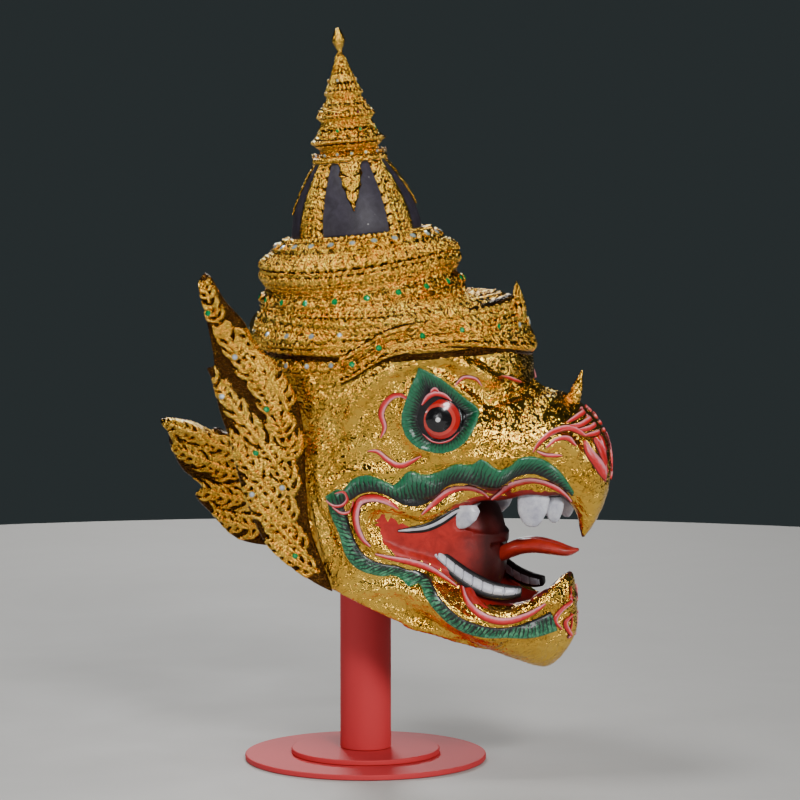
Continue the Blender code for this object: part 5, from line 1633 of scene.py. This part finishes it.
def flame_relief(places, spines):
    """Height from 0 to 1: for each leaf a half round across, fading to its point."""
    flat = places.reshape(-1, 2)
    level = np.zeros(len(flat))
    for path, half_width, strength in leaflets(spines):
        centre = path.mean(axis=0)
        reach = np.linalg.norm(path - centre, axis=1).max() + half_width
        near = np.flatnonzero(np.abs(flat - centre).max(axis=1) < reach)
        if not len(near):
            continue
        gap = np.linalg.norm(flat[near, None] - path[None], axis=-1)
        best = gap.argmin(axis=1)
        share = best / (len(path) - 1)
        width = half_width * np.clip(1.15 * np.sin(math.pi * (0.12 + 0.86 * share)) ** 0.6, 0.15, 1)
        across = gap[np.arange(len(near)), best] / width
        vein = 0.28 * np.exp(-(across / 0.22) ** 2)
        height = strength * np.sqrt(np.clip(1 - across ** 2, 0, 1)) * (1 - vein)
        level[near] = np.maximum(level[near], height)
    return level.reshape(places.shape[:2])


def plate_grid(first, second, rows, columns):
    """Even grid of places between two edges of a plate."""
    share = np.linspace(0, 1, columns)[None, :, None]
    return even_spline(first, rows)[:, None] * (1 - share) + even_spline(second, rows)[:, None] * share


def ear_points(places, side, depth):
    """Ear plane: across grows to the back by the flare and upwards by the rise."""
    flare = EAR_FLARE * (EAR_HINGE[0] - places[..., 0])
    across = EAR_STAND + flare + EAR_RISE * (places[..., 1] - EAR_HINGE[1]) + depth
    return place(places[..., 0], places[..., 1], side * across)


class GARUDA_OT_ears(bpy.types.Operator):
    """Flame ear ornaments and the nape ornament, carved with curling leaves"""

    bl_idname = "garuda.ears"
    bl_label = "Ears and nape"

    def execute(self, context):
        places = plate_grid(EAR_REAR, EAR_FRONT, 300, 80)
        level = flame_relief(places, EAR_FLAMES)
        rim = self.rim(300, 80)
        for label, side in SIDES:
            proud = (EAR_THICKNESS / 2 - 0.001) * rim + 0.0054 * level * rim + self.pitted(places)
            front = ear_points(places, side, proud)
            back = ear_points(places, side, -EAR_THICKNESS / 2 * rim)
            keep_piece(build_mesh("ear_carved_" + label, slab(front, back, self.marks(level)),
                                  carved_gold_material()), "gilt", "ear_ornament_" + label)
        places = np.maximum(plate_grid(NAPE_OUTER, NAPE_INNER, 260, 90), (-0.2036, 0.0))
        level = flame_relief(places, NAPE_FLAMES)
        rim = self.rim(260, 90)
        proud = (NAPE_THICKNESS / 2 - 0.001) * rim + 0.0040 * level * rim + self.pitted(places)
        left = place(places[..., 0], places[..., 1], proud)
        right = place(places[..., 0], places[..., 1], -proud)
        keep_piece(build_mesh("nape_carved", slab(left, right, self.marks(level)), carved_gold_material()),
                   "gilt", "nape_ornament")
        return {"FINISHED"}

    def rim(self, rows, columns):
        down = 1 - (2 * np.linspace(0, 1, rows)[:, None] - 1) ** 20
        across = 1 - (2 * np.linspace(0, 1, columns)[None, :] - 1) ** 14
        return np.sqrt(np.clip(down * across, 0.02, 1))

    def pitted(self, places):
        return 0.00025 * grain(places[..., 0], places[..., 1], 0.0012)

    def marks(self, level):
        marks = relief_marks(level)
        return marks


# Mouth

TONGUE_KEYS = (
    (0.093, 0.194, 0.0070, 0.0090), (0.112, 0.195, 0.0072, 0.0095), (0.131, 0.199, 0.0075, 0.0100),
    (0.140, 0.203, 0.0078, 0.0120), (0.152, 0.2075, 0.0082, 0.0140), (0.166, 0.2090, 0.0080, 0.0140),
    (0.182, 0.2070, 0.0070, 0.0120), (0.196, 0.2045, 0.0050, 0.0090), (0.206, 0.206, 0.0015, 0.0030),
)
HORN_FOOT = (0.200, 0.341)
HORN_TIP = (0.209, 0.372)
HORN_RADIUS = 0.007
# Upper teeth: root place, height, half width along and across, place across
TEETH = {
    "tooth_molar": (0.107, 0.250, 0.022, 0.019, 0.007),
    "tooth_fang": (0.172, 0.264, 0.034, 0.015, 0.007),
    "tooth_front": (0.189, 0.257, 0.024, 0.0085, 0.005),
}
# Lower teeth: a band on the gum, forward, height and place across
GUM_KEYS = (
    (0.079, 0.2135, 0.066), (0.092, 0.204, 0.063), (0.109, 0.190, 0.059), (0.122, 0.181, 0.055),
    (0.136, 0.174, 0.050), (0.150, 0.171, 0.044), (0.163, 0.171, 0.038),
)


class GARUDA_OT_mouth(bpy.types.Operator):
    """Tongue, upper teeth, lower gum with its teeth, and the horn on the beak"""

    bl_idname = "garuda.mouth"
    bl_label = "Mouth and horn"

    def execute(self, context):
        self.tongue()
        self.horn()
        for label, side in SIDES:
            for name in TEETH:
                self.tooth(name, label, side)
            self.gum(label, side)
            stroke("gum_upper_black_" + label, UPPER_GUM, 0.0080, side, 0.0008, black_line_material(),
                   "black_paint", 0.0004)
            stroke("gum_upper_white_" + label, np.asarray(UPPER_GUM) + [0.0, 0.0004], 0.0034, side, 0.0018,
                   tooth_material(), "tooth_paint", 0.0005)
        return {"FINISHED"}

    def tongue(self):
        """Tongue: ovals along its middle line with a groove pressed into the upper side."""
        keys = even_spline(TONGUE_KEYS, 120)
        angle = round_angles(48)
        middle = place(keys[:, 0], keys[:, 1])[:, None]
        along = np.gradient(middle[:, 0], axis=0)
        along = unit(along)
        rise = np.cross(along, [1.0, 0.0, 0.0])[:, None]
        thick = keys[:, 2:3]
        wide = keys[:, 3:4]
        groove = 0.45 * np.exp(-(np.cos(angle) / 0.28) ** 2) * (np.sin(angle) > 0)
        up = thick * 0.97 * np.sin(angle) * (1 - groove)
        out = wide * 0.98 * np.cos(angle)
        rings = middle + rise * up[..., None] + place(0.0, 0.0, out)
        red = colours().red
        paint = paint_material("tongue_paint_red", (red[0] * 1.05, red[1] * 2.4, red[2] * 2.4),
                               (red[0] * 0.55, red[1], red[2]), 0.3, 90.0, 0.3)
        keep_piece(build_mesh("tongue_carved", closed_tube(rings), paint), "tongue_paint", "tongue")

    def horn(self):
        """Horn: round sections that shrink to a point, with shallow rings."""
        share = np.linspace(0, 1, 60)[:, None]
        angle = round_angles(40)
        radius = HORN_RADIUS * np.interp(share, [0, 0.3, 0.6, 0.85, 1.0], [1.0, 0.92, 0.62, 0.28, 0.06])
        radius = radius * (0.97 + 0.03 * np.cos(share * 40))
        forward = HORN_FOOT[0] + (HORN_TIP[0] - HORN_FOOT[0]) * share + radius * np.sin(angle)
        height = HORN_FOOT[1] + (HORN_TIP[1] - HORN_FOOT[1]) * share + 0 * angle
        rings = place(forward, height, radius * np.cos(angle))
        keep_piece(build_mesh("horn_gilt", closed_tube(rings), gold_leaf_material()), "gilt", "beak_horn")

    def tooth(self, name, label, side):
        """Tooth: squarish sections that narrow to a blunt tip, with a groove down each face."""
        forward, top, tall, half_along, half_across = TEETH[name]
        low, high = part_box(name + "_" + label)
        middle = (low[0] + high[0]) / 2
        share = np.linspace(0, 1, 40)[:, None]
        angle = round_angles(44)
        keys = ((0.0, 0.86), (0.25, 1.0), (0.6, 0.88), (0.85, 0.62), (0.96, 0.40), (1.0, 0.22))
        width = through(keys, share)
        groove = 1 - 0.07 * np.exp(-((np.abs(np.cos(angle)) - 0.3) / 0.18) ** 2) * (1 - share)
        uneven = 1 + 0.07 * np.sin(3 * angle + 4.0 * share + 40.0 * half_along * share)
        out = round_power(np.cos(angle), 2.6) * half_along * width * groove * uneven
        over = round_power(np.sin(angle), 2.6) * half_across * width * groove * uneven
        rings = place(forward + out, top - tall * share + 0 * angle, middle + over)
        piece = build_mesh(name + "_shaped_" + label, closed_tube(rings), tooth_material())
        keep_piece(piece, "tooth_paint", name + "_" + label)

    def gum(self, label, side):
        """Gum band inside the lower lip: black ground, and white teeth parted by gaps."""
        keys = even_spline(GUM_KEYS, 170)
        base = place(keys[:, 0], keys[:, 1], side * keys[:, 2])
        lean = np.array([side * -0.45, 0.0, 1.0])
        lean /= np.linalg.norm(lean)
        face = np.array([side * 0.9, -0.25, 0.45])
        for name, low, high, lift, material, slot in (
                ("gum_black_", -0.0100, 0.0085, 0.0, black_line_material(), "black_paint"),
                ("gum_teeth_", -0.0062, 0.0044, 0.0012, tooth_material(), "tooth_paint")):
            share = np.linspace(0, 1, 14)[None, :, None]
            ends = np.sin(math.pi * np.linspace(0.03, 0.97, 170)) ** 0.35
            trim = 6 if lift else 0
            reach = (low + (high - low) * share) * ends[:, None, None]
            notch = 0.0
            if lift:
                cell = (np.linspace(0, 10, 170) % 1.0)
                notch = 0.0014 * (np.exp(-((cell - 0.5) / 0.06) ** 2))[:, None, None]
            round_face = np.sqrt(np.clip(1 - (2 * share - 1) ** 4, 0, 1))
            points = base[:, None] + lean * reach + face * ((lift + 0.0016) * round_face - notch)
            back = base[:, None] + lean * reach - face * (0.004 + lift * round_face - notch)
            shape = slab(points[trim:170 - trim], back[trim:170 - trim])
            keep_piece(build_mesh(name + label, shape, material), slot)


# Stones

def stone_set(name, centres, normals, radius, material, slot="gilt"):
    """Cut stones: each is a flat table, a sloping crown and a girdle, turned to its normal."""
    centres = np.asarray(centres)
    normals = np.asarray(normals) / np.linalg.norm(normals, axis=1, keepdims=True)
    helper = np.where(np.abs(normals[:, 2:3]) > 0.9, [[1.0, 0, 0]], [[0, 0, 1.0]])
    first = np.cross(helper, normals)
    first = unit(first)
    second = np.cross(normals, first)
    angle = np.linspace(0, 2 * math.pi, 8, endpoint=False)
    rings = ((0.0, 0.62), (0.55, 0.56), (0.96, 0.28), (1.0, -0.5), (0.0, -0.5))
    radii = np.array([ring[0] for ring in rings])[:, None] * radius
    levels = np.array([ring[1] for ring in rings])[:, None] * radius
    x = radii * np.cos(angle)
    y = radii * np.sin(angle)
    z = levels + 0 * angle
    points = (centres[:, None, None] + x[None, ..., None] * first[:, None, None]
              + y[None, ..., None] * second[:, None, None] + z[None, ..., None] * normals[:, None, None])
    shapes = [grid_shape(stone, wrap_columns=True) for stone in points]
    item = build_mesh(name, joined(shapes), material)
    item.data.shade_flat()
    return keep_piece(item, slot)


def settings_set(name, centres, normals, radius):
    """Gilt cups round the stones: each a small ring, half round in section."""
    centres = np.asarray(centres)
    normals = np.asarray(normals) / np.linalg.norm(normals, axis=1, keepdims=True)
    helper = np.where(np.abs(normals[:, 2:3]) > 0.9, [[1.0, 0, 0]], [[0, 0, 1.0]])
    first = np.cross(helper, normals)
    first = unit(first)
    second = np.cross(normals, first)
    angle = round_angles(12)
    rings = np.array([(0.90, -0.5), (0.98, 0.20), (1.20, 0.34), (1.42, 0.12), (1.46, -0.5)])
    x = rings[:, 0:1] * radius * np.cos(angle)
    y = rings[:, 0:1] * radius * np.sin(angle)
    z = rings[:, 1:2] * radius + 0 * angle
    points = (centres[:, None, None] + x[None, ..., None] * first[:, None, None]
              + y[None, ..., None] * second[:, None, None] + z[None, ..., None] * normals[:, None, None])
    marks = np.full((5, 12, 3), 0.9)
    shapes = [closed_tube(ring, marks) for ring in points]
    return keep_piece(build_mesh(name, joined(shapes), carved_gold_material()), "gilt")


# Rows of stones round the tiers: length along the profile, count, radius, colour, first angle
STONE_ROWS = (
    (0.0175, 24, 0.0031, "clear", 0.00), (0.072, 20, 0.0030, "green", 0.05),
    (0.1105, 24, 0.0029, "clear", 0.10), (0.140, 28, 0.0024, "clear", 0.00),
    (0.1265, 22, 0.0021, "dark_red", 0.15),
)
STONE_COLOURS = {
    "clear": ((0.82, 0.86, 0.92), 0.55), "green": ((0.0, 0.40, 0.09), 0.25),
    "dark_red": ((0.25, 0.005, 0.012), 0.25),
}
# Single stones of each side: kind of ground, forward or angle, height or share, radius, colour
EAR_STONES = (
    (-0.100, 0.428, "green"), (-0.052, 0.340, "green"), (-0.062, 0.300, "green"),
    (-0.030, 0.205, "green"), (-0.078, 0.388, "clear"), (-0.090, 0.352, "clear"),
    (-0.040, 0.268, "clear"), (-0.066, 0.262, "clear"),
)
TIARA_STONES = ((80, "green"), (68, "green"), (50, "green"), (34, "green"), (18, "green"), (6, "clear"))
SPIRE_STONES = ((0.0085, 0.0330, 16, 0.0014, "clear"), (0.0460, 0.0250, 8, 0.0014, "dark_red"),
                (0.0300, 0.0262, 8, 0.0015, "green"), (0.0760, 0.0125, 4, 0.0013, "clear"))


class GARUDA_OT_stones(bpy.types.Operator):
    """Paste stones in gilt cups on the crown, spire, tiara and ears"""

    bl_idname = "garuda.stones"
    bl_label = "Stones"

    def execute(self, context):
        found = {colour: [] for colour in STONE_COLOURS}
        for along, count, radius, colour, first in STONE_ROWS:
            angle = (np.linspace(0, 2 * math.pi, count, endpoint=False) + first)[None, :]
            level = np.full((1, 1), along)
            inner = tier_surface(level, angle, np.zeros((1, count)))[0]
            outer = tier_surface(level, angle, np.full((1, count), 0.0016))[0]
            found[colour].append((outer, outer - inner, radius))
        for forward, height, colour in EAR_STONES:
            for _, side in SIDES:
                spot = np.array([[[forward, height]]])
                front = ear_points(spot, side, EAR_THICKNESS / 2 + 0.003)[0]
                normal = np.array([[side, EAR_FLARE * -1.0, -EAR_RISE]])
                found[colour].append((front, normal, 0.0027))
        for degrees, colour in TIARA_STONES:
            for _, side in SIDES:
                angle = side * math.radians(degrees) + np.array([[-0.02], [0.0], [0.02]]) + np.zeros((3, 3))
                share = np.full((3, 3), 0.52)
                spot = tiara_surface(angle, share, np.full((3, 3), TIARA_STAND * 0.85))[1, 1][None]
                normal = np.array([[math.sin(angle[1, 0]), -math.cos(angle[1, 0]), 0.1]])
                found[colour].append((spot, normal, 0.0027))
        for height, radius, count, size, colour in SPIRE_STONES:
            angle = np.linspace(0, 2 * math.pi, count, endpoint=False)
            level = np.full(count, height + CROWN_SEAT + DOME_HEIGHT)
            inner = crown_points(turned_grid(np.full(count, radius), level, angle))
            outer = crown_points(turned_grid(np.full(count, radius + 0.0012), level, angle))
            found[colour].append((outer, outer - inner, size))
        for colour, groups in found.items():
            material = stone_material("stone_" + colour, *STONE_COLOURS[colour])
            for index, radius in enumerate(sorted({group[2] for group in groups})):
                chosen = [group for group in groups if group[2] == radius]
                centres = np.concatenate([group[0] for group in chosen])
                normals = np.concatenate([group[1] for group in chosen])
                label = "%s_%d" % (colour, index)
                stone_set("stones_" + label, centres, normals, radius, material)
                settings_set("cups_" + label, centres, normals, radius)
        return {"FINISHED"}


# Stand

class GARUDA_OT_stand(bpy.types.Operator):
    """Turned red stand: base, collar and post"""

    bl_idname = "garuda.stand"
    bl_label = "Stand"

    def execute(self, context):
        for node in ("stand_base", "stand_collar", "stand_post"):
            low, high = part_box(node)
            radius = (high[1] - low[1]) / 2
            keep_piece(self.turned_disc(node + "_painted", radius, low[2], high[2]), "stand_paint", node)
        return {"FINISHED"}

    def turned_disc(self, name, radius, bottom, top):
        """Turned disc: flat faces and edges rounded by a quarter circle, a little uneven."""
        count = sizes().stand_segments
        edge = 0.0012
        turn = np.linspace(0, math.pi / 2, 6)
        upper = np.stack([radius - edge + edge * np.sin(turn), top - edge + edge * np.cos(turn)], axis=-1)
        lower = np.stack([radius - edge + edge * np.cos(turn), bottom + edge - edge * np.sin(turn)], axis=-1)
        inward = np.linspace(0.02, 0.98, 8)[:, None]
        face = np.concatenate([inward * (radius - edge), np.full((8, 1), top)], axis=1)
        under = np.concatenate([inward[::-1] * (radius - edge), np.full((8, 1), bottom)], axis=1)
        wall = np.stack([np.full(30, radius), np.linspace(top - edge, bottom + edge, 32)[1:-1]], axis=-1)
        profile = np.concatenate([face, upper, wall, lower, under])
        angle = round_angles(count)
        reach = profile[:, 0:1] * (1 - 0.0004 * (1 + np.sin(3 * angle)))
        return build_mesh(name, closed_tube(turned_grid(reach, profile[:, 1:2], angle)), stand_material())


# Stage

class GARUDA_OT_stage(bpy.types.Operator):
    """Pale floor, soft studio lights and the camera"""

    bl_idname = "garuda.stage"
    bl_label = "Stage"

    def execute(self, context):
        angle = round_angles(96)
        reach = np.array([[0.0], [0.5 * FLOOR_RADIUS], [FLOOR_RADIUS]])
        floor = build_mesh("floor", grid_shape(turned_grid(reach, -0.0004, angle), wrap_columns=True),
                           self.floor_paint())
        world = bpy.data.worlds.new("studio")
        world.use_nodes = True
        world.node_tree.nodes["Background"].inputs["Color"].default_value = (0.36, 0.46, 0.48, 1.0)
        world.node_tree.nodes["Background"].inputs["Strength"].default_value = 0.07
        context.scene.world = world
        lights = (
            ("key", (-2.3, -1.7, 2.0), 0.7, 62.0), ("fill", (-2.3, 1.9, 1.0), 0.6, 17.0),
            ("front", (-0.5, -2.7, 0.8), 0.5, 17.0), ("top", (-0.3, 0.5, 2.3), 0.6, 20.0),
            ("rim", (2.0, 0.9, 1.3), 0.6, 22.0), ("low", (-2.4, -0.4, 0.25), 0.4, 4.0),
        )
        for name, spot, size, power in lights:
            self.soft_light(context, name, Vector(spot), size, power)
        camera = bpy.data.cameras.new("camera")
        camera.lens = CAMERA_LENS_MM
        camera.sensor_width = 36.0
        camera.clip_end = 50.0
        view = bpy.data.objects.new("camera", camera)
        view.location = CAMERA_PLACE
        view.rotation_euler = (Vector(CAMERA_AIM) - view.location).to_track_quat("-Z", "Y").to_euler()
        context.scene.collection.objects.link(view)
        context.scene.camera = view
        return {"FINISHED"}

    def floor_paint(self):
        return paint_material("floor_pale", (0.56, 0.55, 0.53), (0.52, 0.51, 0.49), 0.6, 3.0, 0.0)

    def soft_light(self, context, name, spot, size, power):
        light = bpy.data.lights.new(name, "AREA")
        light.size = size
        light.energy = power
        item = bpy.data.objects.new(name, light)
        item.location = spot
        item.rotation_euler = (Vector((0, -0.03, 0.36)) - spot).to_track_quat("-Z", "Y").to_euler()
        context.scene.collection.objects.link(item)


class GARUDA_PT_panel(bpy.types.Panel):
    """Sidebar panel with the sizes, the colours and a button for each group of pieces"""

    bl_label = "Garuda Mask"
    bl_idname = "GARUDA_PT_panel"
    bl_space_type = "VIEW_3D"
    bl_region_type = "UI"
    bl_category = "Garuda Mask"

    def draw(self, context):
        for group in (context.scene.garuda_sizes, context.scene.garuda_colours):
            for name in group.__annotations__:
                self.layout.prop(group, name)
        for operator in STEPS:
            self.layout.operator(operator.bl_idname)


STEPS = (
    GARUDA_OT_head, GARUDA_OT_face_bands, GARUDA_OT_eyes, GARUDA_OT_crown_tiers,
    GARUDA_OT_skull_rows, GARUDA_OT_dome,
    GARUDA_OT_spire, GARUDA_OT_tiara, GARUDA_OT_ears, GARUDA_OT_mouth, GARUDA_OT_stones,
    GARUDA_OT_stand, GARUDA_OT_stage,
)
CLASSES = (GarudaSizes, GarudaColours, *STEPS, GARUDA_PT_panel)


def register():
    for item in CLASSES:
        bpy.utils.register_class(item)
    bpy.types.Scene.garuda_sizes = bpy.props.PointerProperty(type=GarudaSizes)
    bpy.types.Scene.garuda_colours = bpy.props.PointerProperty(type=GarudaColours)


def unregister():
    del bpy.types.Scene.garuda_colours
    del bpy.types.Scene.garuda_sizes
    for item in reversed(CLASSES):
        bpy.utils.unregister_class(item)


def main():
    register()
    for step in STEPS:
        group, action = step.bl_idname.split(".")
        getattr(getattr(bpy.ops, group), action)()


if __name__ == "__main__":
    main()
